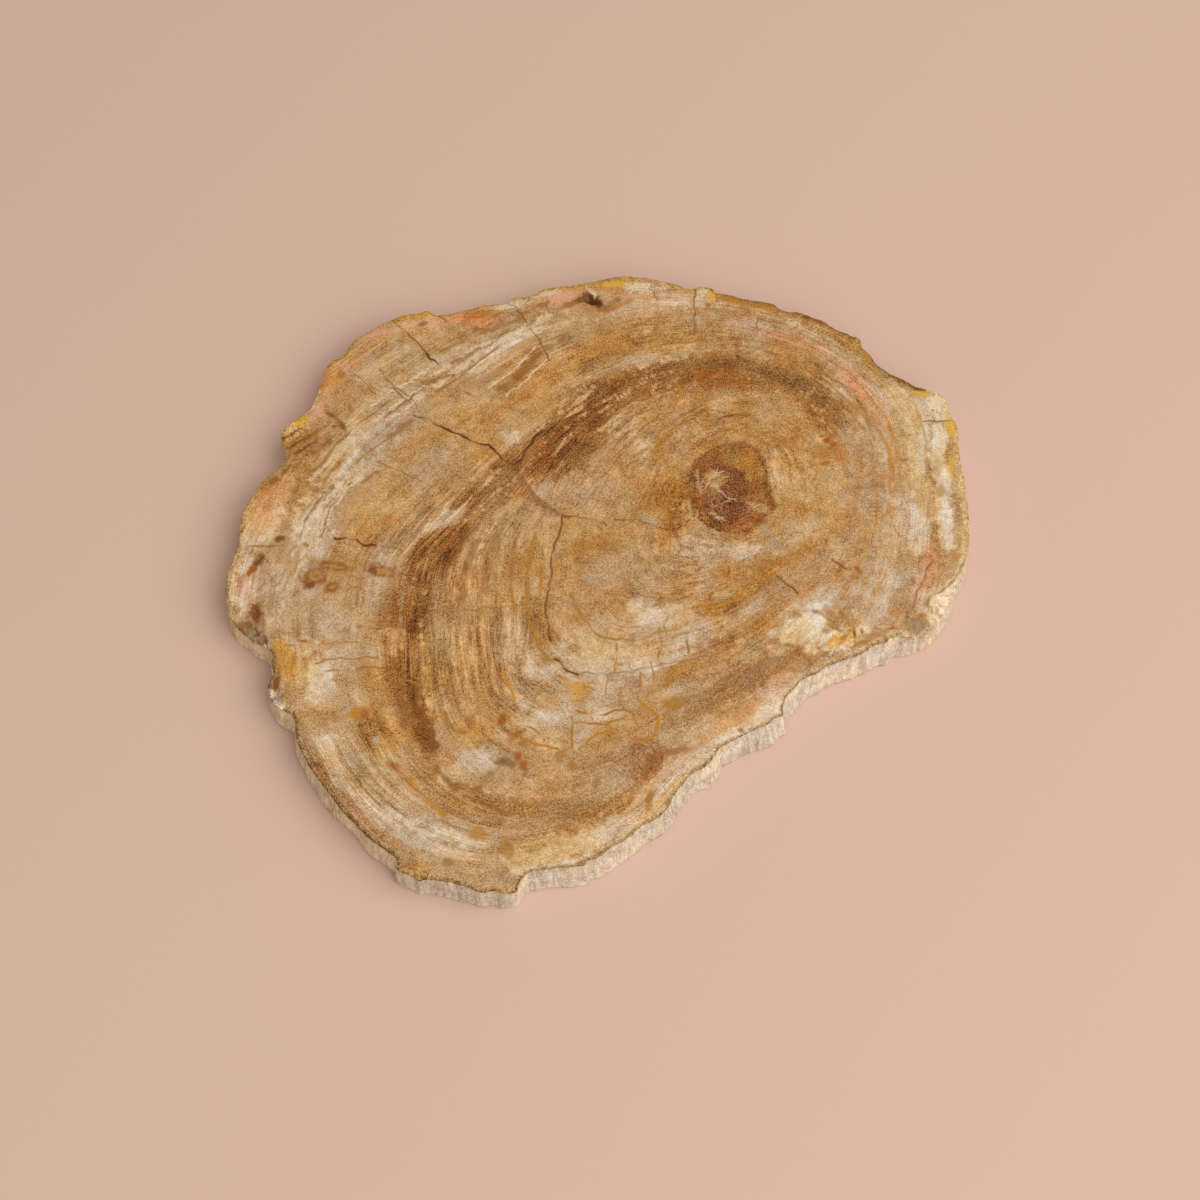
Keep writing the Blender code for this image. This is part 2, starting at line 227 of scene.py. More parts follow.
# Broad colour, painted in this order
WASHES = washes(
    # the left field, outside the dark band
    (SAND, -135, 110, 45, 50, 30, 0.75, 0.5), (BEIGE, -140, -10, 26, 34, 0, 0.7, 0.2),
    (BEIGE, -142, 20, 16, 20, 60), (BEIGE, -125, 98, 16, 12, 45), (BEIGE, -148, 66, 16, 9, 50, 0.8, 0.2),
    (ASH, -132, 82, 34, 16, 45, 0.75, 0.6), (ASH, -112, 122, 34, 16, 40, 0.6, 0.6),
    (CREAM, -150, 50, 60, 9, 66, 0.75, 0.75), (CREAM, -163, 8, 34, 6, 68, 0.6, 0.6),
    (SAND, -135, -15, 20, 30), (HONEY, -120, 32, 21, 22, 60, 0.95, 0.2),
    (GOLD, -108, 42, 20, 8, -50, 0.5), (SAND, -172, -20, 14, 22, 0, 0.7, 0.2),
    (PEACH, -182, 30, 30, 12, 65, 0.95, 0.1), (PINK, -184, 38, 14, 5, 60, 0.7),
    (SALMON, -186, 20, 9, 4, 70), (CREAM, -176, 28, 8, 5, 40, 0.7, 0.2),
    (BEIGE, -193, 4, 6, 9, 0, 0.8, 0.1), (CREAM, -185, 14, 9, 7, 0, 0.6, 0.2),
    (PEACH, -191, -14, 22, 9, 90, 0.9, 0.1), (CREAM, -190, -2, 8, 6, 0, 0.7, 0.1),
    (CREAM, -190, -22, 10, 5, 70, 0.8, 0.1), (PINK, -195, -12, 9, 4, 80, 0.8, 0.2),
    (SALMON, -196, -14, 6, 2.5, 80, 0.6, 0.2), (PINK, -187, 25, 9, 4, 20),
    (PINK, -178, 42, 12, 4, 45, 0.5), (TAN, -158, -33, 13, 9, 0, 0.85, 0.2),
    (STRAW, ((-176, 62), (-186, 49), (-193, 32), (-195, 10), (-198, -6), (-197, -26)), 2.2, 0.8, 0.1),
    (YELLOW, ((-157, 118), (-160, 104), (-165, 93), (-173, 85)), 2.6, 0.85, 0.1),
    (YELLOW, ((-134, 146), (-122, 154), (-106, 159), (-92, 159)), 1.8, 0.7, 0.2),
    (TAN, -180, -8, 10, 4, 60, 0.5, 0.4),
    # the upper left lobe
    (PEACH, -112, 150, 18, 7, 15, 0.7), (PINK, -121, 148, 8, 4, 20, 0.5, 0.4),
    (PINK, -142, 132, 14, 6, 50, 0.55, 0.4), (CREAM, -140, 138, 9, 4, 55, 0.5),
    (TAN, -95, 147, 16, 6, 12, 0.65), (ORANGE, -95, 148, 9, 3, 15, 0.35), (BEIGE, -92, 140, 26, 10, 30),
    (IVORY, -50, 138, 30, 8, 40, 0.5, 0.5), (ROSE, -84, 156, 30, 5, 8, 0.7), (PEACH, 10, 172, 60, 8),
    (PINK, -74, 157, 16, 4.5, 8, 0.85), (SALMON, -78, 158, 8, 3, 8, 0.5),
    (PINK, -151, 115, 12, 4.5, 80, 0.8), (SAND, -105, 130, 20, 9, 40, 0.6, 0.4),
    (CREAM, -50, 146, 26, 6, 38, 0.7, 0.6), (CREAM, -66, 131, 26, 5, 38, 0.7, 0.6),
    (TAN, -88, 118, 14, 4, 32, 0.5, 0.6), (HONEY, -50, 88, 38, 16, 40, 0.85),
    (HONEY, -82, 92, 22, 10, 30, 0.7), (TAN, -100, 74, 16, 10, 40, 0.7),
    (SAND, -82, 62, 22, 8, 50, 0.5, 0.4), (CREAM, -48, 78, 9, 4, -35, 0.55),
    (HONEY, -34, 118, 26, 8, 42, 0.7, 0.4), (GOLD, -45, 138, 12, 4, 42),
    # between the dark band and the middle
    (TAN, -62, 40, 34, 14, 52, 0.75, 0.4), (CREAM, -84, 29, 15, 6, 24, 0.8),
    (CREAM, -70, 24, 10, 5, 20, 0.45, 0.5), (ASH, -52, 42, 16, 6, 55, 0.6, 0.6),
    (TAN, -55, -5, 12, 34, 0, 0.75, 0.6), (BROWN, -66, 2, 9, 26, -14, 0.4, 0.7),
    (HONEY, -40, -5, 8, 34, -8, 0.75, 0.6), (SAND, -22, 42, 18, 9, -10, 0.7),
    # the dark band, from its lower left end round to its right end
    (BROWN, ((-100, -74), (-100, -45), (-98, -20), (-92, 2), (-78, 24), (-56, 46), (-34, 70), (-16, 92),
      (6, 106), (28, 116), (58, 124), (88, 121), (110, 110), (126, 94)), 12, 0.8, 0.35),
    (BROWN, -92, 4, 26, 16, 55, 0.9, 0.2), (UMBER, -92, 5, 19, 10, 56, 0.85, 0.12),
    (UMBER, -75, 20, 12, 4, 50, 0.6, 0.5), (UMBER, -97, -32, 18, 5, 78, 0.7, 0.6),
    (BROWN, -112, -28, 22, 9, 78, 0.5, 0.7), (TAN, -112, -45, 12, 9, 0, 0.6, 0.6),
    (BROWN, -80, -22, 20, 8, 70, 0.5, 0.6), (BROWN, -14, 78, 30, 17, 42, 0.9, 0.15),
    (UMBER, -14, 88, 24, 7, 44, 0.55, 0.45), (UMBER, 0, 104, 14, 7, 36, 0.75, 0.4),
    (PLUM, -8, 110, 9, 4, 38, 0.6, 0.4), (UMBER, 22, 117, 16, 4, 24, 0.55, 0.5),
    (BROWN, -30, 62, 16, 8, 50, 0.5, 0.5), (BROWN, -38, 42, 12, 4, -50, 0.45, 0.4),
    # the lower left, below the band
    (CREAM, -160, -52, 16, 5, 5, 0.7, 0.2), (CREAM, -146, -72, 9, 16, 0, 0.95, 0.15),
    (STRAW, -162, -64, 8, 12, 0, 0.6, 0.2), (YELLOW, -167, -59, 7, 10, 0, 0.75, 0.2),
    (SAND, -130, -58, 18, 9, 0, 0.6, 0.4), (GOLD, -112, -66, 18, 10, 0, 0.6, 0.55),
    (OCHRE, -88, -66, 14, 12, 0, 0.55, 0.6), (GOLD, -88, -84, 14, 9, 20, 0.55, 0.5),
    (SAND, -150, -100, 10, 22, 25), (TAN, -132, -84, 14, 12, 0, 0.5, 0.5),
    (OCHRE, -119, -104, 9, 15, 15, 0.85, 0.35), (BROWN, -119, -106, 7, 11, 15, 0.5),
    (CREAM, -138, -112, 12, 7, -55, 0.65, 0.5), (BROWN, -95, -92, 20, 7, -75, 0.75, 0.5),
    (UMBER, -91, -104, 13, 4, -65, 0.75, 0.5), (GOLD, -68, -102, 16, 10, -30, 0.7, 0.4),
    (BROWN, -78, -126, 16, 4, -40, 0.5, 0.6),
    (ASH, ((-132, -122), (-116, -140), (-96, -154), (-74, -163), (-50, -168)), 10, 0.85, 0.6),
    (CREAM, ((-124, -130), (-108, -146), (-84, -158), (-60, -165)), 4, 0.7, 0.6),
    (TAN, ((-104, -126), (-86, -142), (-62, -150), (-36, -152)), 7, 0.75, 0.6),
    (BROWN, ((-62, -139), (-40, -144), (-12, -143), (14, -137), (30, -128)), 7, 0.4, 0.6),
    (SAND, -68, -120, 13, 9, 20, 0.95, 0.15), (TAN, ((-92, -170), (-70, -176), (-48, -180)), 5, 0.6, 0.5),
    (OCHRE, -92, -174, 12, 4, -15, 0.6, 0.4),
    (CREAM, ((-42, -170), (-16, -165), (8, -154), (28, -141)), 8, 0.85),
    (TAN, -30, -120, 26, 12, 10, 0.6, 0.4), (SAND, 0, -122, 16, 10),
    # the middle
    (HONEY, 12, 22, 40, 20, 0, 0.7), (GOLD, 0, 14, 22, 12, 0, 0.55, 0.4),
    (HONEY, 18, 54, 24, 16, 60, 0.7), (TAN, 22, 76, 20, 14, 50, 0.55, 0.4),
    (GOLD, 30, 44, 12, 18, 0, 0.4, 0.4), (TAN, 8, -8, 30, 12), (SAND, -14, -8, 8, 16, 0, 0.45, 0.4),
    (BEIGE, 24, -40, 44, 14, 8, 0.9, 0.15), (BEIGE, -4, -62, 30, 18, 0, 0.9, 0.15),
    (CREAM, 18, -56, 30, 9, 4, 0.7, 0.15), (CREAM, 34, -32, 16, 5, 10, 0.6, 0.1),
    (CREAM, 20, -24, 5, 6, 0, 0.85, 0.1), (SAND, 52, -12, 20, 10, 10, 0.7, 0.2),
    (BEIGE, 66, 2, 26, 8, 14, 0.7, 0.2), (BEIGE, -22, -92, 26, 16, 0, 0.75),
    (SAND, 30, -78, 34, 9, 14, 0.7), (CREAM, 12, -92, 18, 5, 0, 0.5, 0.2),
    (CREAM, -30, -100, 10, 10, 0, 0.6, 0.2), (PLUM, 22, -116, 12, 17, -20, 0.45, 0.75),
    (BROWN, 24, -114, 10, 13, -10, 0.35, 0.6),
    (TAN, ((30, -92), (56, -80), (80, -66), (100, -46)), 13, 0.75, 0.5),
    (BROWN, ((36, -94), (54, -86), (72, -76), (88, -64), (100, -52)), 7, 0.45, 0.5),
    (GOLD, ((36, -70), (50, -62), (62, -56), (76, -46), (94, -34)), 5, 0.8, 0.2),
    (SAND, ((36, -78), (54, -72), (70, -64), (84, -56), (98, -44)), 2.6, 0.7),
    (BEIGE, ((30, -56), (48, -48), (66, -38), (84, -26)), 3.4, 0.6),
    (OCHRE, ((58, -27), (70, -22), (84, -13), (98, -1)), 5, 0.75),
    (GOLD, ((66, -10), (86, -6), (104, 6)), 7, 0.6, 0.4),
    (TAN, ((96, -24), (110, -14), (120, 0), (126, 14)), 8, 0.55, 0.5),
    (PEACH, ((18, -146), (36, -128), (52, -110), (66, -98), (82, -88), (96, -76)), 9, 0.9, 0.15),
    (CREAM, ((16, -151), (33, -135), (49, -117), (62, -104), (77, -96), (93, -86)), 4, 0.8, 0.15),
    # the rings round the heart
    (OCHRE, 40, 42, 11, 24, -6, 0.75, 0.35), (BROWN, 44, 40, 6, 20, -4, 0.7),
    (BROWN, 38, 24, 3, 10, -8, 0.5), (OCHRE, 62, 76, 16, 5, 20), (SAND, 58, 10, 22, 6, -14, 0.6, 0.4),
    (BEIGE, 82, 6, 12, 4, 30, 0.5), (OCHRE, 76, 86, 20, 4, 0, 0.55, 0.4), (OCHRE, 94, 86, 6, 4),
    (OCHRE, ((28, 62), (34, 78), (48, 92), (66, 99), (86, 98)), 2, 0.5),
    (SAND, ((22, 66), (32, 84), (48, 97), (64, 102)), 2, 0.6),
    (BROWN, ((38, 106), (60, 111), (84, 110), (104, 101)), 2.2, 0.55, 0.4),
    (OCHRE, ((106, 98), (122, 84), (131, 64), (132, 44)), 2, 0.45, 0.4),
    (SAND, ((100, 78), (108, 66), (112, 50), (108, 32)), 3, 0.5, 0.4),
    (OCHRE, ((104, 72), (106, 56), (104, 40)), 1.6, 0.4, 0.4), (HONEY, 110, 42, 22, 44, 0, 0.85, 0.4),
    (SAND, 104, 20, 18, 14, 0, 0.5, 0.4), (TAN, 70, 92, 40, 16, 0, 0.6, 0.5),
    (HONEY, 84, 88, 26, 9, -10, 0.5, 0.4),
    (TAN, ((50, 101), (68, 106), (88, 106), (106, 99), (120, 86)), 3, 0.6),
    (ASH, 34, 132, 34, 7, 14, 0.6, 0.6),
    (GOLD, ((-22, 122), (2, 136), (26, 142), (50, 142)), 12, 0.7, 0.4),
    (OLIVE, ((54, 124), (74, 126.5), (92, 123), (108, 114), (122, 102)), 4.5, 0.55, 0.5),
    (RUST, ((56, 119), (68, 118), (78, 114)), 7, 0.35, 0.6), (BROWN, 66, 119, 14, 9, 0, 0.45, 0.5),
    (TAN, ((76, 140), (100, 134), (122, 122), (138, 106)), 9, 0.6, 0.5),
    (SAND, 62, 152, 44, 9, 4, 0.65, 0.4), (SAND, 12, 160, 26, 8, 20, 0.6, 0.4),
    (CREAM, 4, 176, 12, 3, 40, 0.6, 0.2), (PINK, -18, 174, 13, 3.5, 14, 0.75),
    (PINK, 30, 174, 12, 4, -10, 0.5), (CREAM, ((40, 168), (64, 168), (90, 162), (112, 154)), 4, 0.4, 0.4),
    # the right side
    (SAND, ((140, 112), (150, 90), (153, 60), (148, 20), (140, -10)), 11, 0.7),
    (BEIGE, ((158, 100), (163, 70), (163, 36), (157, 4), (146, -20)), 9, 0.8, 0.15),
    (BEIGE, 146, -22, 18, 12, 60, 0.75, 0.15),
    (ASH, ((160, 112), (168, 90), (171, 60), (170, 20), (162, -8)), 8, 0.9, 0.25),
    (CREAM, ((174, 104), (178, 80), (178, 40), (174, 8)), 4, 0.5),
    (BEIGE, ((158, 118), (168, 100), (172, 76), (171, 50), (170, 20)), 10, 0.8, 0.2),
    (CREAM, ((164, 108), (172, 88), (174, 62), (173, 34), (170, 6)), 6, 0.8, 0.2),
    (WHITE, 187, 68, 6, 38, 0, 0.9, 0.1), (CREAM, 188, 26, 6, 20, 0, 0.8, 0.15),
    (PINK, ((92, 146), (112, 141), (130, 127), (144, 114), (155, 103)), 4.5, 0.75, 0.4),
    (SALMON, 141, 113, 14, 5, -50, 0.7, 0.4),
    (ORANGE, ((150, 106), (156, 92), (159, 72), (158, 50)), 1.6, 0.45, 0.4), (ROSE, 174, -8, 6, 20, -12),
    (PINK, 172, -24, 4, 8, -10, 0.4, 0.4), (BEIGE, 128, -22, 18, 9, 0, 0.5), (BEIGE, 142, -34, 16, 8),
    (BEIGE, 110, -36, 24, 14, 25, 0.9, 0.1), (WHITE, 108, -39, 16, 9, 25, 0.95, 0.1),
    (WHITE, 124, -48, 22, 7, 14, 0.9, 0.2), (YELLOW, 132, -46, 19, 4, 14, 0.6, 0.5),
    # the ringed golden patch and the pale crackled one near the lower left
    (GOLD, -112, -104, 15, 14, 60, 0.7, 0.25), (BROWN, -120, -103, 7, 11, 12, 0.75, 0.15),
    (ASH, -116, -107, 2.6, 3.6, 0, 0.6, 0.1), (BEIGE, -68, -119, 14, 9, 15, 0.8, 0.1),
    # the speckled patch at the head of the dark band, under a torn pale border
    (CREAM, -84, 27, 16, 3.6, 26, 0.55, 0.5), (BROWN, -89, 7, 19, 12, 60, 0.85, 0.1),
    (UMBER, -91, 5, 15, 8, 62, 0.5, 0.25),
    # pale rims, then warmer and paler parts of the face, over all that is above
    (PEACH, -190, 25, 7, 16, -8, 0.6, 0.2), (PINK, -191, -17, 6, 9, 0, 0.4),
    (YELLOW, -150, 116, 7, 7, 50, 0.4), (WHITE, 188, 26, 5, 14, 0, 0.5, 0.1),
    (CHALK, 178, -24, 6, 12, -30, 0.7, 0.1), (CREAM, 147, -42, 11, 5, 10, 0.7, 0.2),
    (BEIGE, -158, -10, 15, 15, 0, 0.4), (GOLD, -89, -58, 16, 14, 0, 0.3, 0.5),
    (GOLD, -42, 12, 26, 22, 0, 0.25, 0.5), (GOLD, -58, -22, 14, 20, 0, 0.25, 0.6),
    (GOLD, 88, 88, 34, 18, 0, 0.2, 0.4), (HONEY, 106, 129, 16, 10, -40, 0.5, 0.4),
    (BEIGE, 68, -58, 17, 12, 30, 0.45), (BEIGE, -26, -23, 12, 14, 0, 0.4, 0.4),
    (BEIGE, -26, -58, 14, 14, 0, 0.45, 0.4),
)

# Where the grain hardly shows
CALM = rows_of(
    Patch,
    (-140, 60, 70, 42, 60), (-148, -15, 40, 34), (-60, 95, 45, 22, 40), (8, -30, 44, 40), (0, 30, 42, 26),
    (20, -95, 60, 26, 10), (165, 40, 70, 30, 90), (120, -25, 40, 22, 20), (-145, -80, 30, 24),
)

# The heart of the log, painted over the washes and held inside its own outline
HEART = (
    (93, 42), (92, 50), (91, 60), (88, 68), (82, 74), (75, 76), (66, 74), (60, 71), (54, 66), (50, 61),
    (48, 53), (47, 46), (49, 38), (50, 30), (54, 24), (60, 20), (70, 17.5), (80, 18), (85, 21), (89, 28),
    (94, 32), (95, 37))
HEART_WASHES = washes(
    (OCHRE, 79, 60, 11, 10, 0, 0.55, 0.2), (BROWN, 58, 63, 15, 6, 46, 0.85, 0.2),
    (BROWN, 74, 73, 13, 3, -6, 0.75, 0.2), (BROWN, 88, 64, 2.5, 8, 14, 0.7, 0.2),
    (BROWN, 53, 45, 5, 17, 0, 0.85, 0.2), (BROWN, 84, 46, 9, 6, 0, 0.6, 0.2),
    (RUST, 91, 37, 3, 6, 10, 0.5, 0.2), (BROWN, 56, 33, 6, 6, 0, 0.7), (TAN, 60, 50, 6, 9, -20),
    (SAND, 61, 49, 4, 8, -16, 0.8, 0.6), (PLUM, 67, 58, 7, 3.5, -20, 0.85, 0.1),
    (PLUM, 73, 50, 5, 11, 8, 0.95, 0.1), (UMBER, 74, 47, 4, 8, 0, 0.8, 0.1),
    (PLUM, 68, 43, 6, 4, 0, 0.85, 0.1), (TAN, 83, 35.5, 10, 3.4, -12, 0.85, 0.1),
    (PLUM, 70, 30, 13, 10, -20, 0.95, 0.1), (UMBER, 64, 25, 7, 5, -30, 0.8, 0.2),
    (UMBER, 69, 34, 5, 4, 0, 0.7, 0.2), (BROWN, 77, 22, 7, 4, 0, 0.5),
)

# Cracks, which are dark and slightly open
CRACKS = rows_of(
    Line,
    (DARK, ((-104, 92.5), (-97, 91), (-85, 84), (-78, 80), (-70, 76), (-60, 72), (-55, 66),
      (-48, 61)), 1.1, 0.8, 0.3),
    (DARK, ((-49, 61), (-45, 64), (-42, 72), (-35, 80), (-28, 85), (-20, 91), (-8, 97),
      (2, 101)), 1.3, 0.8, 0.3),
    (UMBER, ((2, 101), (14, 102), (25, 104), (38, 110)), 0.6, 0.5, 0.1),
    (UMBER, ((-47, 61), (-44, 52), (-38, 43), (-30, 34), (-22, 29)), 2.6, 0.45, 0.1),
    (UMBER, ((-47, 60), (-42, 50), (-37, 43), (-31, 37), (-22, 29)), 0.7, 0.55, 0.15),
    (UMBER, ((-22, 29), (-10, 27), (0, 25), (3, 22)), 0.9, 0.75, 0.2),
    (UMBER, ((-10, 27.5), (-4, 24), (0, 20.5)), 0.6, 0.55, 0.1),
    (UMBER, ((8, 26), (14, 26)), 0.8, 0.7, 0.1),
    (UMBER, ((22, 25), (30, 22.5), (37, 19.5)), 0.8, 0.75, 0.15),
    (UMBER, ((-22, 30), (-22.5, 20), (-25, 12), (-27, 5), (-27, -5), (-28, -12), (-29, -22), (-29.5, -30),
      (-29, -37), (-26, -47)), 1, 0.75, 0.25),
    (OCHRE, ((-34, -45), (-33, -52), (-29, -57), (-23, -58)), 1.6, 0.7, 0.1),
    (DARK, ((-24, -58), (-18, -64), (-12, -68)), 1.2, 0.75, 0.2),
    (UMBER, ((94, -8), (99, -13), (104, -18)), 0.9, 0.8, 0.15),
    (UMBER, ((124, 2), (131, -4)), 0.8, 0.75, 0.1),
    (DARK, ((-144, 15), (-138, 14.5), (-134, 14), (-128, 11), (-122, 11)), 1.5, 0.8, 0.2),
    (UMBER, ((-119, 10), (-110, 8.5)), 0.9, 0.75, 0.1),
    (OCHRE, ((-103, -70), (-97, -72), (-90, -74.5), (-84, -73.5), (-78, -74)), 1.5, 0.85, 0.2),
    (BROWN, ((-150, -60), (-140, -58), (-128, -58), (-118, -57)), 0.8, 0.6, 0.1),
    (BROWN, ((-128, -64), (-116, -63), (-106, -64)), 1.2, 0.6, 0.1),
    (BROWN, ((-143, -65), (-133, -64.5)), 0.8, 0.5, 0.1),
    (GOLD, ((-166, -50), (-150, -49.5), (-135, -48.5), (-120, -49.5), (-104, -48)), 1, 0.7, 0.1),
    (UMBER, ((-119, 157), (-114, 152), (-110, 149), (-103, 141), (-98, 134)), 0.8, 0.7, 0.2),
    (DARK, ((-99, 135), (-96, 131), (-92, 127)), 1.1, 0.8, 0.15),
    (BROWN, ((-97, 163), (-90, 157), (-83, 149)), 0.8, 0.7, 0.15),
    (UMBER, ((-52, 169), (-47, 163), (-43, 158), (-40, 150), (-34, 142), (-29, 130)), 0.8, 0.7, 0.2),
    (BROWN, ((-142, 122), (-134, 116), (-126, 107)), 0.7, 0.6, 0.1),
    (BROWN, ((-134, 118), (-124, 109), (-112, 104)), 0.5, 0.5, 0.05),
    (BROWN, ((-125, 124), (-115, 112), (-108, 106), (-102, 99)), 0.8, 0.65, 0.1),
    (BROWN, ((-120, 112), (-113, 107), (-106, 101)), 0.8, 0.7, 0.1),
    (BROWN, ((-122, 62), (-112, 58), (-104, 53), (-97, 50)), 0.7, 0.6, 0.1),
    (BROWN, ((-118, 67), (-106, 60)), 0.6, 0.5, 0.05), (BROWN, ((-95, 62), (-91, 58)), 0.7, 0.5, 0.05),
    (BROWN, ((-75, 74), (-70, 62)), 0.6, 0.4, 0.05),
    (BROWN, ((53, 180), (52.5, 168), (53.5, 158), (53, 148)), 0.8, 0.7, 0.15),
    (BROWN, ((66.5, 177), (66, 170)), 1.2, 0.7, 0.25), (BROWN, ((59, 164), (60, 152)), 0.6, 0.4, 0.05),
    (UMBER, ((28, 180), (31, 174), (32, 171)), 0.9, 0.5, 0.15),
    (UMBER, ((179, 89.5), (186, 89), (195, 91)), 0.8, 0.7, 0.2),
    (BROWN, ((90, 160), (88, 154), (88, 149)), 0.7, 0.55, 0.1),
    (BROWN, ((108, 150), (111, 152)), 0.8, 0.6, 0.1),
    (DARK, ((76.5, 132.5), (76.8, 130.5)), 1.6, 0.85, 0.3),
    (BROWN, ((76.5, 131), (76, 126), (75, 121)), 0.7, 0.5, 0.05),
    (BROWN, ((50, 61), (55, 63), (60, 66)), 0.9, 0.7, 0.1),
    (UMBER, ((73, 42), (77, 39.5), (82, 39)), 0.8, 0.5, 0.05),
    (BROWN, ((-190, 9.5), (-180, 10), (-172, 11)), 0.8, 0.6, 0.15),
    (BROWN, ((165, -30), (168, -20), (170, -14), (173, -7), (178, 1)), 1, 0.6, 0.2),
    (BROWN, ((170, -14), (170, 2), (171, 14)), 0.6, 0.35, 0.05),
    (GREY, ((195, 1), (193, -4), (190, -9), (186, -13), (181, -17), (176, -20), (174, -24),
      (174, -30)), 1.1, 0.75, 0.1),
    (BROWN, ((-75, -30), (-60, -28), (-48, -26), (-38, -25)), 0.6, 0.45, 0.05),
    (BROWN, ((100, -50), (105, -55), (110, -60)), 0.8, 0.5, 0.05),
    (BROWN, ((-176, -31), (-177, -20), (-176, -10)), 0.8, 0.3, 0.05),
    (BROWN, ((-57, -115), (-53, -120), (-58, -127), (-64, -131)), 1, 0.45, 0.05),
)

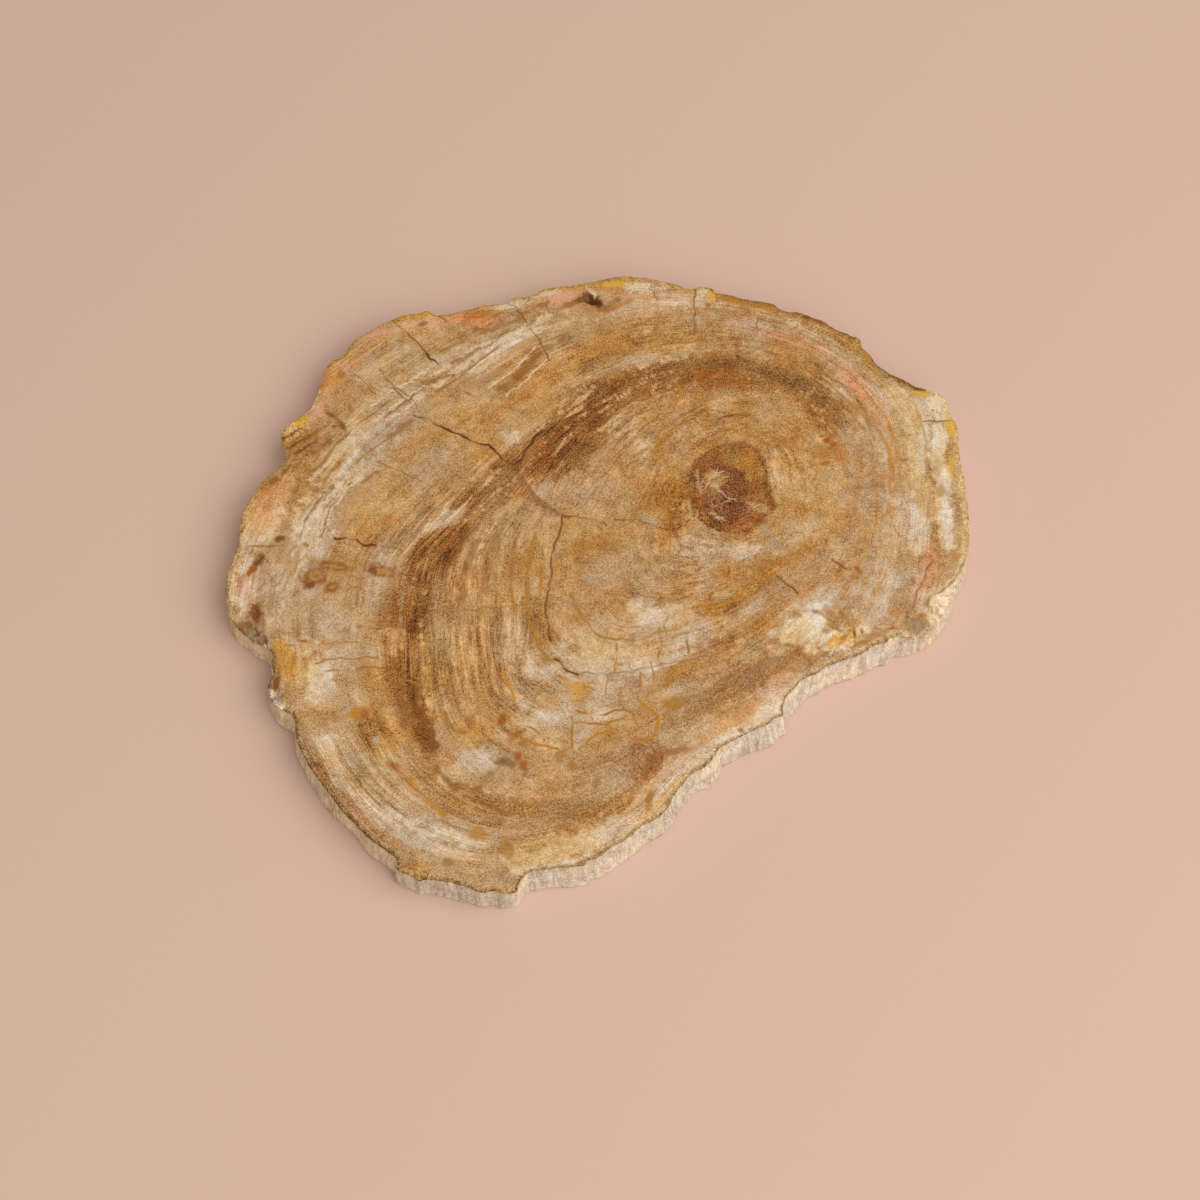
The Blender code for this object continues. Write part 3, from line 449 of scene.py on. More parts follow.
# Stains that run along old cracks, level with the polished face
VEINS = rows_of(
    Line,
    (AMBER, ((42, 116), (44, 108), (41, 100), (36, 93), (34, 86), (31.5, 78), (33, 69),
      (37, 61)), 0.86, 0.74),
    (AMBER, ((53, 116), (55, 109), (57, 102)), 0.78, 0.74),
    (AMBER, ((59, 104), (58, 92), (60, 84)), 0.78), (AMBER, ((46, 100), (45, 92)), 0.78),
    (AMBER, ((30, 148), (28, 140), (25, 134)), 0.78, 0.74),
    (AMBER, ((18, 139), (12, 132), (7, 128)), 0.86, 0.74),
    (AMBER, ((-52, -64), (-50, -70), (-48, -75), (-45, -81)), 1.2, 0.75),
    (AMBER, ((-29, -72), (-33, -79), (-36, -84), (-39, -90)), 1.2, 0.75),
    (AMBER, ((10, -79), (18, -80), (22, -85), (26, -88), (29.5, -93), (28.5, -99), (25, -104),
      (20, -105.5), (15, -103), (13, -100), (5, -100), (-3, -102), (-8, -108)), 1.3, 0.8),
    (OCHRE, ((-12, -88.5), (0, -90), (10, -88.5), (16, -88), (18, -92), (19, -98)), 1.2, 0.85),
    (OCHRE, ((-14, -94), (-4, -95.5), (8, -94.5), (17, -93)), 0.94, 0.85),
    (OCHRE, ((-15, -91), (-14.5, -100), (-15, -110)), 0.9, 0.85), (OCHRE, ((-9, -87), (-5, -92)), 0.94),
    (AMBER, ((-40, -105), (-34, -108), (-27, -109), (-20, -112)), 1.2, 0.85),
    (AMBER, ((-45, -100), (-41, -97), (-36, -98), (-32, -102)), 1.2, 0.8),
    (AMBER, ((-26, -68), (-22, -64), (-19, -66)), 0.94, 0.74),
    (OCHRE, ((44.5, -25), (45, -36), (44.5, -46), (46, -54)), 1.1, 0.85),
    (OCHRE, ((8, -50), (8.5, -58), (7, -67)), 0.94, 0.68),
    (OCHRE, ((31, -40), (32, -50), (30, -57)), 0.94, 0.68), (OCHRE, ((26, -60), (27, -70)), 1.1, 0.74),
    (OCHRE, ((20, -66), (21, -76)), 0.86, 0.68), (OCHRE, ((3, -68), (2, -78)), 0.8, 0.74),
    (OCHRE, ((36, -30), (34, -38), (35, -44)), 0.86, 0.52), (OCHRE, ((-10, -66), (-9, -74)), 1.2, 0.68),
    (OCHRE, ((15, -60), (16, -68)), 0.78, 0.52),
    (ORANGE, ((55.5, -5), (55.5, -14), (54.5, -24)), 0.86, 0.4),
    (OCHRE, ((-16, -19), (-13, -27), (-10, -34), (-3, -43), (3, -46.5), (12, -46.5), (22, -46), (30, -43),
      (36, -41)), 1.1, 0.69),
    (TAN, ((36, -41), (50, -38), (62, -33), (74, -27), (84, -20)), 1.5, 0.57),
    (GREY, ((-10, -66), (0, -67), (12, -66.5), (22, -63), (32, -61), (46, -59), (56, -56)), 0.9, 0.57),
    (GREY, ((40, -82), (56, -78), (66, -73), (80, -66), (92, -57)), 1.2, 0.52),
    (AMBER, ((50, -27), (60, -27), (68, -24), (74, -20)), 1.4, 0.74),
    (AMBER, ((36.5, 19), (37, 10), (36, 3)), 0.78, 0.74),
    (RUST, ((38, 32), (38.5, 24), (41, 15)), 2, 0.46),
    (ORANGE, ((116, 59), (118, 55), (115, 50)), 0.78, 0.57),
    (DARK, ((65, 91), (73, 93.5), (83, 93)), 1, 0.52),
    (BROWN, ((131, 108), (141, 98), (148, 87), (150, 78)), 2.2, 0.52),
    (AMBER, ((140, 101), (148, 92), (153, 84), (157, 75), (158.5, 65), (157.5, 50), (157, 40),
      (155, 30)), 2, 0.57),
    (ORANGE, ((150, 96), (155, 86), (161, 78), (163, 68), (160, 60)), 2.3, 0.46),
    (TAN, ((176, 96), (179, 80), (179, 60), (178.5, 40), (176, 24)), 1.2, 0.57),
    (BROWN, ((140, 46), (148, 47), (154, 47.5)), 2.5, 0.46),
    (BROWN, ((148, 70), (150, 60), (146, 54)), 2, 0.34),
    (IVORY, ((-9, 181), (-6, 177), (-3, 173)), 1.6, 0.45),
    (SAND, ((54.5, 47), (58, 53), (64, 58)), 0.7, 0.55),
    (CREAM, ((57, 46.5), (61, 52), (67, 56.5)), 0.6, 0.5),
    (SAND, ((59.5, 46), (63.5, 50.5), (70, 54.5)), 0.7, 0.5),
    (SAND, ((58, 44), (59, 39), (61, 35)), 0.8, 0.35), (SAND, ((53, 58), (54, 50), (55, 42)), 1.5, 0.46),
    (CREAM, ((64, 43.5), (69, 41.5), (74, 38.5)), 0.9, 0.45),
    (SAND, ((62, 34), (66, 36), (70, 39)), 1.2, 0.57),
    (SAND, ((60, 31), (63, 28.5), (66, 28)), 1.5, 0.69),
    (SAND, ((47, 36), (50, 26), (56, 21), (63, 19)), 1.2, 0.5),
    (SAND, ((53, 31), (53, 26), (58, 22)), 1.5, 0.57),
    (SLATE, ((84, 28), (88, 22), (92, 15), (98, 9)), 1.5, 0.5),
    (TAN, ((47, 30), (45, 23), (50, 17), (60, 14)), 1.2, 0.57),
    (SLATE, ((22, -24), (26, -20), (30, -21)), 1.2, 0.4),
    (YELLOW, ((-112, 10), (-109, 30), (-107, 42)), 1.2, 0.3),
    (BROWN, ((-104, -75), (-103, -86), (-101, -97)), 4.2, 0.57),
    (UMBER, ((-98, -76), (-95, -84), (-93, -92), (-90, -100), (-86, -109)), 4.5, 0.75),
    (BROWN, ((-84, -122), (-76, -130), (-67, -135), (-62, -131), (-57, -123)), 2.8, 0.69),
    (BROWN, ((-70, -135), (-60, -141), (-48, -147)), 2.2, 0.57),
    (AMBER, ((-106, -120), (-98, -129), (-90, -138), (-80, -147)), 2.5, 0.68),
    (OCHRE, ((-82, -90), (-78, -98), (-70, -101)), 2, 0.85), (BROWN, ((-114, 8), (-114, 14)), 1.2, 0.46),
    (OCHRE, ((-45, 20), (-47, 5), (-48, -12), (-47, -30)), 1.6, 0.68),
    (OCHRE, ((-36, 22), (-38, 6), (-40, -14), (-38, -34), (-34, -46)), 1.7, 0.74),
    (OCHRE, ((-31, 10), (-32, -6), (-33, -24))), (ORANGE, ((-24, 4), (-24, -4), (-26, -12)), 2.2, 0.4),
    (BROWN, ((-56, 16), (-60, 0), (-63, -18)), 3, 0.46),
    (BROWN, ((-68, 12), (-72, -4), (-75, -22)), 3.8, 0.52),
    (UMBER, ((-70, 22), (-78, 8), (-84, -8)), 3.2, 0.57),
    (TAN, ((-105, -4), (-106, -24), (-107, -44)), 2.2, 0.46),
    # pale and dark strokes that fan out along the grain in the left field
    (IVORY, ((-62, 111), (-54, 119), (-45, 128), (-37, 138)), 1.3),
    (IVORY, ((-52, 106), (-44, 114), (-36, 123), (-29, 131)), 1.1),
    (CREAM, ((-166, 4), (-160, 22), (-150, 40), (-140, 52)), 1.6),
    (CREAM, ((-160, 0), (-154, 20), (-144, 40), (-132, 56)), 2),
    (IVORY, ((-155, 8), (-148, 28), (-138, 46), (-128, 58)), 1.6),
    (CREAM, ((-158, 52), (-148, 66), (-136, 78), (-124, 88)), 2.2),
    (IVORY, ((-152, 60), (-140, 76), (-126, 90), (-112, 102)), 1.8),
    (CREAM, ((-146, 66), (-132, 84), (-116, 98), (-98, 112)), 2.2),
    (IVORY, ((-124, 84), (-108, 98), (-92, 112), (-74, 128)), 1.8),
    (CREAM, ((-104, 104), (-86, 120), (-66, 136), (-46, 150)), 2.2),
    (IVORY, ((-96, 118), (-78, 132), (-60, 144)), 1.8), (CREAM, ((-70, 122), (-54, 134), (-38, 146)), 2),
    (IVORY, ((-128, 100), (-112, 112), (-96, 124)), 1.6),
    (CREAM, ((-170, -30), (-166, -14), (-160, 0)), 2), (BROWN, ((-152, 16), (-146, 34), (-136, 50)), 1),
    (BROWN, ((-164, 14), (-156, 34), (-146, 48)), 1), (BROWN, ((-148, 70), (-134, 88), (-118, 102)), 1),
    (BROWN, ((-120, 92), (-104, 106), (-86, 122)), 1, 0.7),
    (BROWN, ((-92, 108), (-76, 122), (-58, 138)), 1, 0.7),
    (BROWN, ((-134, 62), (-122, 74), (-110, 84)), 0.9),
    (BROWN, ((-56, 110), (-49, 117), (-42, 125), (-34, 135)), 4.6, 0.7),
    (UMBER, ((-54, 112), (-48, 117)), 2.8), (BROWN, ((-31, 137), (-25, 141), (-18, 146)), 3),
    (TAN, ((-75, 111), (-68, 114), (-58, 122)), 3.6), (BROWN, ((-75, 109), (-72, 106), (-69, 104)), 1.6),
    (BROWN, ((-100, 115), (-94, 115), (-88, 118), (-78, 122)), 2.4, 0.55),
    (BROWN, ((-117, 79), (-112, 84), (-106, 88)), 3.4),
    (TAN, ((-104, 92), (-96, 98), (-90, 102)), 1.4, 0.5),
    (BROWN, ((-90, 136), (-80, 141), (-66, 149), (-56, 155)), 1.6, 0.5),
    (BROWN, ((-66, 137), (-60, 142), (-52, 150)), 2.2, 0.45),
    (BROWN, ((-84, 128), (-76, 132), (-68, 138)), 1.8, 0.4),
    (BROWN, ((-72, 150), (-62, 151), (-50, 156), (-40, 164), (-30, 169)), 2.6, 0.55),
    (TAN, ((-52, 134), (-44, 140), (-36, 146)), 3, 0.45),
    (BROWN, ((-158, 68), (-153, 73), (-150, 76)), 3, 0.7),
    (BROWN, ((-160, 56), (-154, 60), (-149, 68)), 1.8),
    (BROWN, ((-152, 50), (-147, 58), (-141, 66)), 1.4, 0.5),
    (BROWN, ((-157, 30), (-152, 38), (-146, 46)), 1.4, 0.45),
    (BROWN, ((-154, 22), (-150, 32), (-144, 42)), 1.4, 0.5),
    (TAN, ((-163, 26), (-158, 36), (-152, 44)), 1.4, 0.5),
    (CREAM, ((-158, 14), (-153, 26), (-146, 36), (-139, 46)), 2, 0.5),
    (CREAM, ((-150, 62), (-142, 74), (-134, 84)), 2.4, 0.5),
    (TAN, ((-142, 20), (-138, 34), (-130, 48), (-123, 55)), 2, 0.5),
    (BROWN, ((-131, 50), (-126, 55), (-122, 57)), 1.8),
    (TAN, ((-171, -20), (-167, -8), (-163, 4)), 1.6, 0.5),
    (BROWN, ((-178, -26), (-174, -16), (-170, -6)), 1.2, 0.35),
    (TAN, ((-134, -28), (-130, -16), (-124, -2)), 1.6, 0.3), (BROWN, ((-160, 11), (-158, 10)), 1.8),
)

# Spots, knots and rust
BLOTS = rows_of(
    Blot,
    # the crystals and stains of the rim
    (OLIVE, -184, -41.5, 5, 2, -30, 0.8), (UMBER, -178, -46, 1.5, 3, 20, 0.8),
    (OLIVE, -191, -39, 2.2, 2.6, 0, 0.8), (WHITE, -182, -47, 2.8, 2, 0, 0.9),
    (OLIVE, -174.5, -72, 1.3, 4, 0, 0.85), (WHITE, -172, -78, 1.8, 2.6, 0, 0.9),
    (UMBER, -175, -80, 1, 2.4, 0, 0.8), (WHITE, -168, -85, 2.4, 1.8, -30, 0.9),
    (GREY, -187, -42, 3.4, 5, 20, 0.8), (UMBER, -189, -37, 4, 1.6, -10, 0.7),
    (GREY, -181, -47, 3, 3.6, 0, 0.8), (IVORY, -180, -54, 4.6, 4.6, 0, 0.8),
    (UMBER, -174, -55, 1.2, 4, 10, 0.7), (GOLD, -169, -58, 2.6, 6, 0, 0.5),
    (AMBER, -162, -61, 0.9, 4.4, -8, 0.8), (UMBER, -170, -72, 1.6, 4.6, -8, 0.8),
    (SLATE, -175, -77, 2.4, 3, 0, 0.8), (UMBER, -173.5, -80, 1.6, 1.4, 0, 0.8),
    (IVORY, -171, -84, 2.4, 2.4, 0, 0.9), (SLATE, -169, -80.5, 1.6, 1.4, 0, 0.7),
    (LEMON, 8, 181, 7, 2.6, 4, 0.9), (LEMON, 63, 174, 4, 2.6, -20, 0.9), (IVORY, 22, 179, 9, 3, -4, 0.7),
    (IVORY, 58, 176, 3.4, 2.2, 0, 0.7), (IVORY, -52, 167, 8, 2, 12, 0.7), (IVORY, -30, 175, 8, 2, 12),
    (ROSE, -24, 172, 9, 3, 20, 0.8), (ORANGE, -70, 160, 6, 2, 6, 0.7),
    (AMBER, 76, 170, 9, 1.8, -14, 0.85), (AMBER, 92, 166, 8, 1.6, -16, 0.7),
    (AMBER, 9, 166, 8, 1.2, 24, 0.7), (IVORY, 186, 101, 4.6, 6.6, 0, 0.95),
    (UMBER, 176, 111, 3.6, 2, -20, 0.95), (UMBER, 168, 119, 3.4, 1.6, -36, 0.9),
    (GREY, 157, 125, 3.4, 1.6, -40, 0.8), (BROWN, 124, 157, 6, 1.8, -28, 0.8),
    (UMBER, 117, 161, 2.6, 1.4, 60, 0.8), (LEMON, 193, 85, 2.2, 5, 0, 0.8),
    (LEMON, 179, 107, 5, 1.8, -10, 0.7), (LEMON, 192, 60, 1.8, 6), (GOLD, -170, 76, 8, 6, 30, 0.7),
    (STRAW, -169, 85, 7, 3.2, 40, 0.75), (UMBER, -172, 82, 8, 0.9, 30, 0.85),
    (UMBER, -168, 76, 8, 1, 32, 0.9), (UMBER, -163, 72, 7, 0.9, 36, 0.9),
    (BROWN, -160, 80, 6, 0.9, 40, 0.7), (ROSE, -160, 95, 5, 9, -20, 0.7),
    (LEMON, -165, 90, 5, 3, 40, 0.8), (IVORY, -160, 103, 2.4, 6, -10), (SALMON, -154, 118, 2, 6, -10),
    (ROSE, -128, 147, 9, 3, 30), (BROWN, -154, -9, 5.8, 5.4, 20, 0.95),
    (UMBER, -156, -14, 3.2, 2.4, 30, 0.9), (GOLD, -153, -8, 3.6, 3, 20, 0.9),
    (UMBER, -152.5, -8.5, 1.6, 1.3), (BROWN, -144, -15.5, 3.2, 2.3, 20, 0.9),
    (GOLD, -143.6, -15.2, 1.7, 1.1, 20, 0.8), (BROWN, -143.5, -2.5, 8, 2.2, -10, 0.9),
    (GOLD, -142.5, -2.9, 5, 0.9, -10, 0.8), (BROWN, -118, -5.5, 7.2, 3.8, -12, 0.9),
    (GOLD, -116.5, -5.8, 4.2, 2, -12, 0.9), (UMBER, -122.5, -4.5, 2.4, 2.4, 0, 0.8),
    (TAN, -170, 8, 7.5, 7, 0, 0.7, 0.75), (UMBER, -173, 14.5, 3, 2, 20, 0.8),
    # the two dark pits in the left rim: partly their own colour, partly painted shade in the hollows
    (UMBER, -183, -31, 5, 2.6, -70, 0.9), (BROWN, -180, -36, 4, 1.8, -60),
    (UMBER, -184, 1, 4.5, 1.8, 70, 0.75), (RUST, -187, -5, 4.5, 1.6, 52, 0.8),
    (BROWN, -178.5, 51, 2.4, 1.4, 20, 0.85), (OCHRE, -182, 46, 2.6, 3.2, 0, 0.4),
    (UMBER, -174, 56, 2, 1.2, 40, 0.5), (BROWN, -156.5, 45.5, 2.4, 2.2),
    (BROWN, -165, 45, 3.4, 2.4, 0, 0.3), (RUST, -157.5, -47.5, 2.6, 1, 0, 0.85),
    (BROWN, -128, -39, 1.6, 1, 20), (ORANGE, -115, 26, 3, 1.8, 30, 0.5),
    (RUST, -122.5, 9.5, 2.2, 1, -20, 0.4), (UMBER, -150, 93.5, 3.4, 1.2, -30, 0.7),
    (RUST, -146, 90, 3.6, 0.9, -55), (UMBER, -143, 86, 3.6, 1.1, -58, 0.75), (BROWN, -145, 120, 1.8, 2.6),
    (BROWN, -139, 97, 1.2, 2.4, 20, 0.5), (ORANGE, -137, 128, 6, 3, 50, 0.35),
    (BROWN, -101.5, 153.5, 2.4, 1.2, 25, 0.7), (OCHRE, -62, 160.5, 5, 1.2, 8),
    # the dark knot at the top of the rim sits on a pit: partly its own colour, partly painted shade in the
    # hollow
    (OCHRE, -32, 168, 3.6, 1.2, 22), (DARK, -5.5, 170.5, 6.4, 3.6, -25, 0.92),
    (UMBER, -12, 170, 4.5, 2, 20, 0.8), (BROWN, -18, 167, 5.5, 1.6, 28, 0.7), (RUST, 3, 164, 6, 1.5, 12),
    (BROWN, 8, 169, 4.6, 1.5, 24), (OCHRE, 15, 168.5, 3.6, 1.2, 30, 0.5),
    (ORANGE, 6, 178, 6, 1.5, 4, 0.5), (RUST, 61, 167, 1.2, 1.2), (RUST, 125, 77, 2.2, 1.4, 20, 0.9),
    (RUST, 129, 73, 1.5, 2.4, 10, 0.9), (UMBER, 126, 72, 1.2, 1, 0, 0.7),
    (RUST, 122, 79.5, 1.2, 1, 0, 0.7), (RUST, 128, 80, 3, 2, 60, 0.5),
    (ORANGE, 130, 66, 1.5, 2.6, 0, 0.7), (RUST, 123, 62, 3, 1, 20), (OCHRE, 122, 70, 5, 4, 0, 0.4),
    (ORANGE, 132, 71, 3.4, 4.4, 0, 0.35), (ORANGE, 155.5, 54.5, 1.8, 3.4),
    (OCHRE, 102, 75, 5, 2.4, -20, 0.5), (BROWN, 138, 33, 1, 3, 0, 0.35),
    (BROWN, 103, 27, 2.4, 1.6, 0, 0.25), (RUST, 137.5, -4.5, 1.2, 2.4, 40),
    (OCHRE, 113, 6.5, 3, 1.2, -25, 0.5), (OCHRE, 103, 6, 3.6, 1.2, -30, 0.4),
    (RUST, 85, 27, 3.6, 2.2, -10, 0.7, 0.35), (UMBER, 86, 25.5, 1.6, 1),
    (DARK, 50, 37.5, 1.8, 1.8, 0, 0.7), (BROWN, 76, 75, 3.6, 1.8, 0, 0.5),
    (PLUM, 70, 126, 4, 2.6, 0, 0.4), (OCHRE, 129, -33, 5, 1.3, -50), (OCHRE, 122, -31, 3, 1.8, -30),
    (DARK, 134, -43, 0.6, 2.6, 0, 0.8), (UMBER, 138, -42, 0.6, 1.8, 0, 0.7),
    (BROWN, 144, -44, 6, 1.4, 10, 0.45), (OCHRE, 136, -49, 6, 0.9, 20, 0.7),
    (OCHRE, 124, -40, 4, 0.8, -30, 0.7), (OCHRE, 119, -33, 5, 0.8, -40),
    (AMBER, 128, -45, 3, 0.7, 40, 0.7), (AMBER, 148, -41, 4, 0.8, -15), (BROWN, 150, -46, 1.4, 2.2, 10),
    (ORANGE, 156, -30, 3.4, 1.8, 10, 0.4), (BROWN, 114, -30, 2.4, 1, -20),
    (BROWN, 98, -50, 2.6, 1.2, 0, 0.7), (GREY, 167, -38, 6, 2.4, 8, 0.7),
    (ORANGE, 190, 3, 1.4, 3, -10, 0.5), (PINK, 171, 47, 1, 2.6, 0, 0.5),
    (TAN, 185.5, 45, 2, 3.6, 0, 0.75), (TAN, 184, 58, 2, 5, 0, 0.5),
    (OCHRE, 38, -84, 4.6, 3.2, 14, 0.85, 0.45), (OCHRE, 44, -82, 2.6, 1.2, 20, 0.7),
    (BROWN, 40, -111, 8, 1.8, 12), (BROWN, 26, -115, 2.8, 1.6), (BROWN, 72.5, -99.5, 1.4, 1, 0, 0.7),
    (OCHRE, 24.5, -139, 1.9, 4, -8, 0.85, 0.4), (OCHRE, -14, -120, 2.2, 1.8, 0, 0.7),
    (BROWN, -2, -129, 1.8, 2.4, 0, 0.5), (OCHRE, 5, -104, 3, 1.2, 10, 0.4), (YELLOW, -12, -76, 4.6, 5.6),
    (YELLOW, -27, -84, 4.6, 3.2, 0, 0.4), (YELLOW, -19, -70, 2, 1.6, 0, 0.5),
    (RUST, -51.5, -93, 1.6, 2.6, -10, 0.75), (RUST, -43, -114.5, 1.9, 2.2, 10, 0.75),
    (RUST, -40, -119, 1.6, 3, 15, 0.7), (RUST, -46, -119.5, 1.2, 1.5),
    (ORANGE, -47, -109, 3, 1.6, 30, 0.45), (RUST, -45, -103, 3.6, 2, 40),
    (RUST, -41, -107, 2.6, 1.4, -20), (OCHRE, -20.5, -113, 3, 2.2, 60, 0.7), (OLIVE, -49, -117.5, 4.4, 2),
    (AMBER, -125, -89, 5, 2.4, 10, 0.75), (RUST, -123, -90, 2, 2.4),
    (RUST, -106.5, -119.5, 3.2, 1.8, -15, 0.7), (GOLD, -63, -157, 4, 3.2, 0, 0.8),
    (OCHRE, -47.5, -165, 2.6, 5.6, 8, 0.65, 0.35), (BROWN, -47, -164, 1.6, 2.2),
    (BROWN, -77, -173, 3.2, 1.8, 10, 0.55), (BROWN, -50, -150, 1.8, 1.4, 0, 0.5),
    (BROWN, -68, -95, 1.8, 2.8, 10, 0.4), (SLATE, 25, 25.5, 3.8, 1.8, -25, 0.55),
    (ORANGE, 22, 23, 1.8, 1.2, 0, 0.5), (SLATE, -6, -9.5, 2.6, 1.4, -20, 0.45),
    (SLATE, 2, -12.5, 2, 1.6, 0, 0.5), (SLATE, 18, -23, 1.8, 3, 0, 0.35), (BROWN, 5, 10, 5, 4, 10, 0.35),
    (OCHRE, 28, 1, 7, 3, 0, 0.35),
)


# The outline and the hollows, as the part's source has them
@dataclass(frozen=True)
class Stretch:
    """A stretch of the rim, anticlockwise seen from above, in drawn millimetres.

    lip is the width of the worn band inside the rim and drop how far it falls below the face.
    flare is how far the foot stands outside the rim. crust is the weathered colour inside the
    rim, crust_width how far it reaches, seam how dark the olive line along the rim
    is, which is partly the rind's own colour and partly painted shade in the crevice where the
    face meets the broken edge, and wall the colour of the broken edge below it. On the knuckles
    and the lower left the wall is painted paler, partly painted light on the side away from the
    key lamp.
    """

    points: tuple
    lip: float
    drop: float
    flare: float
    crust: Tint
    crust_width: float
    seam: float
    wall: Tint


@dataclass(frozen=True)
class Hollow:
    """A place that lies below the polished face: an ellipse and its depth, in drawn millimetres."""

    x: float
    y: float
    half_length: float
    half_width: float
    turn: float
    depth: float
    tint: Tint


# Each stretch's seam darkens the line along its rim: partly the rind's olive colour, partly painted shade,
# strongest at the lower left and weakest on the right
RIM = (
    Stretch(  # right side
        ((196, 2), (198, 10), (199.2, 22), (199.5, 34), (198.5, 54), (197, 67), (197.5, 80), (197, 86),
         (195.5, 90), (193.5, 94), (193, 99), (191.5, 103.5), (188, 107.5), (180, 111)),
        lip=3.0, drop=0.9, flare=0.8, crust=STRAW, crust_width=5.0, seam=0.15, wall=CREAM),
    Stretch(  # rough brown rim, upper right
        ((176, 112.5), (171, 116.5), (164, 120.5), (161, 122.3), (158, 125), (155, 128), (153, 131),
         (151, 135), (146.3, 140), (146.7, 143.5), (145, 146.5), (140, 148), (131, 153), (127, 156.5),
         (121, 159.5), (113, 163), (107, 163.5), (102, 165.5), (99, 168), (97, 169.5), (84, 172),
         (78, 173.5), (75, 175), (66, 176.5)),
        lip=5.5, drop=2.4, flare=0.5, crust=OCHRE, crust_width=7.0, seam=0.5, wall=TAN),
    Stretch(  # yellow lip along the top
        ((64, 179), (60, 180.2), (56, 180.5), (53, 179), (47.5, 179.2), (44, 181.5), (38, 183.5),
         (30, 185.5), (20, 187.2), (12, 187.7), (5, 186.6), (-8, 183), (-24, 180.3), (-30, 179.5),
         (-34, 178), (-38, 175), (-43, 173.5), (-48, 173), (-51, 171.5), (-53, 168.5)),
        lip=5.0, drop=1.6, flare=0.5, crust=LEMON, crust_width=5.0, seam=0.3, wall=STRAW),
    Stretch(  # upper left
        ((-62, 168), (-68, 167), (-73, 165), (-84, 162), (-93, 160.5), (-96, 162), (-98, 163.3),
         (-101, 163), (-106, 161.5), (-112, 160.5), (-121, 156), (-131, 150), (-139, 144), (-143, 136),
         (-146, 131.5), (-150, 130.5), (-153, 127), (-155.5, 123.5), (-155, 121), (-158, 108),
         (-161, 99), (-163, 96), (-171, 89), (-174.5, 86), (-176.5, 82), (-176.3, 77), (-174, 72),
         (-171.5, 69.5)),
        lip=3.5, drop=1.3, flare=0.5, crust=LEMON, crust_width=4.0, seam=0.35, wall=STRAW),
    Stretch(  # left side
        ((-173, 65), (-176, 60), (-181, 55), (-186, 50), (-191, 40), (-194.5, 30), (-195.3, 20),
         (-196, 10), (-198, 3), (-200, -5), (-200.5, -14), (-199.5, -22), (-198, -30), (-195.5, -36)),
        lip=2.5, drop=0.9, flare=1.6, crust=STRAW, crust_width=2.0, seam=0.5, wall=CREAM),
    # The knuckles' wall is painted pale ivory: partly the edge's own cream, partly painted light on the
    # side away from the key lamp
    Stretch(  # the two knuckles on the left
        ((-191, -40), (-184, -46), (-177, -50.5), (-173.5, -54), (-173, -60), (-172, -66), (-174, -71),
         (-175, -75), (-173, -80), (-170, -84), (-166, -87), (-161, -90), (-159, -94)),
        lip=3.5, drop=1.6, flare=1.6, crust=SAND, crust_width=3.0, seam=0.9, wall=IVORY),
    # The lower left wall is painted pale ivory: partly the edge's own cream, partly painted light on the
    # side away from the key lamp
    Stretch(  # lower left
        ((-158.5, -100), (-157, -106), (-153, -114), (-150, -120), (-142, -131), (-134, -142),
         (-126, -151), (-118, -159), (-110, -165), (-105, -169), (-103, -172), (-103, -176)),
        lip=2.0, drop=0.8, flare=1.6, crust=SAND, crust_width=2.2, seam=1.0, wall=IVORY),
    Stretch(  # bottom
        ((-100, -178), (-96, -179.5), (-92, -182), (-88, -181.5), (-76, -183), (-70, -184.5),
         (-65, -186.5), (-60, -188.5), (-54, -187.5), (-50, -189), (-42.5, -188), (-41, -183)),
        lip=2.4, drop=1.1, flare=1.2, crust=TAN, crust_width=3.6, seam=0.7, wall=CHALK),
    Stretch(  # lower right
        ((-38, -179), (-34, -177), (-22, -175.5), (-9, -174), (-7, -171.5), (-2, -170), (4, -165),
         (12, -160), (16, -157), (20, -153), (29, -148), (32, -145), (35, -141), (37, -136),
         (43, -128), (46, -124), (53, -120), (56, -117), (59, -113), (61, -109), (66, -106),
         (75, -101), (87, -95), (90, -92), (94.5, -90)),
        lip=2.0, drop=0.8, flare=3.6, crust=CREAM, crust_width=2.0, seam=0.6, wall=CHALK),
    Stretch(  # right shoulder
        ((95, -85), (96.5, -80), (99, -77), (104, -71), (108, -68), (113, -66), (117, -63), (125, -59),
         (136, -55), (145, -49), (150, -48), (153, -45), (157, -44)),
        lip=2.2, drop=0.9, flare=4.2, crust=CREAM, crust_width=3.0, seam=0.55, wall=CHALK),
    Stretch(  # the broken corner on the right
        ((162, -44.5), (167, -44), (172, -42), (176, -38.5), (179, -34), (182, -29), (186, -22),
         (189, -16), (192, -10), (194.5, -4)),
        lip=4.0, drop=2.2, flare=0.8, crust=WHITE, crust_width=6.0, seam=0.0, wall=CHALK),
)

CHIPS = rows_of(
    Hollow,
    (-174, 78, 15, 11, 40, 3.2, GOLD), (-188, -46, 15, 9, -35, 5.5, BEIGE),
    (-176, -79, 12, 8, -60, 4.5, BEIGE), (-96, -183, 15, 7, -10, 3.2, HONEY),
    (-52, -191, 15, 6, 0, 2.6, TAN), (143, 150, 13, 6, -42, 3.6, OCHRE),
    (118, 163, 14, 6, -28, 2.8, BROWN), (167, 121, 14, 5, -38, 3, BROWN),
    (186, -26, 17, 9, 58, 7.5, WHITE), (170, -46, 14, 9, 8, 5.5, ASH), (99, -84, 9, 5, 60, 3, TAN),
)
# Pits below the face; their dark tints are partly the stone's own colour and partly painted shade in the
# hollows
PITS = rows_of(
    Hollow,
    (-5.5, 170.5, 5.6, 3.2, -25, 2.6, DARK), (-183.5, -31, 5.5, 2.2, -72, 1.6, UMBER),
    (-185, 1, 5.5, 2, 52, 1.4, UMBER),
)


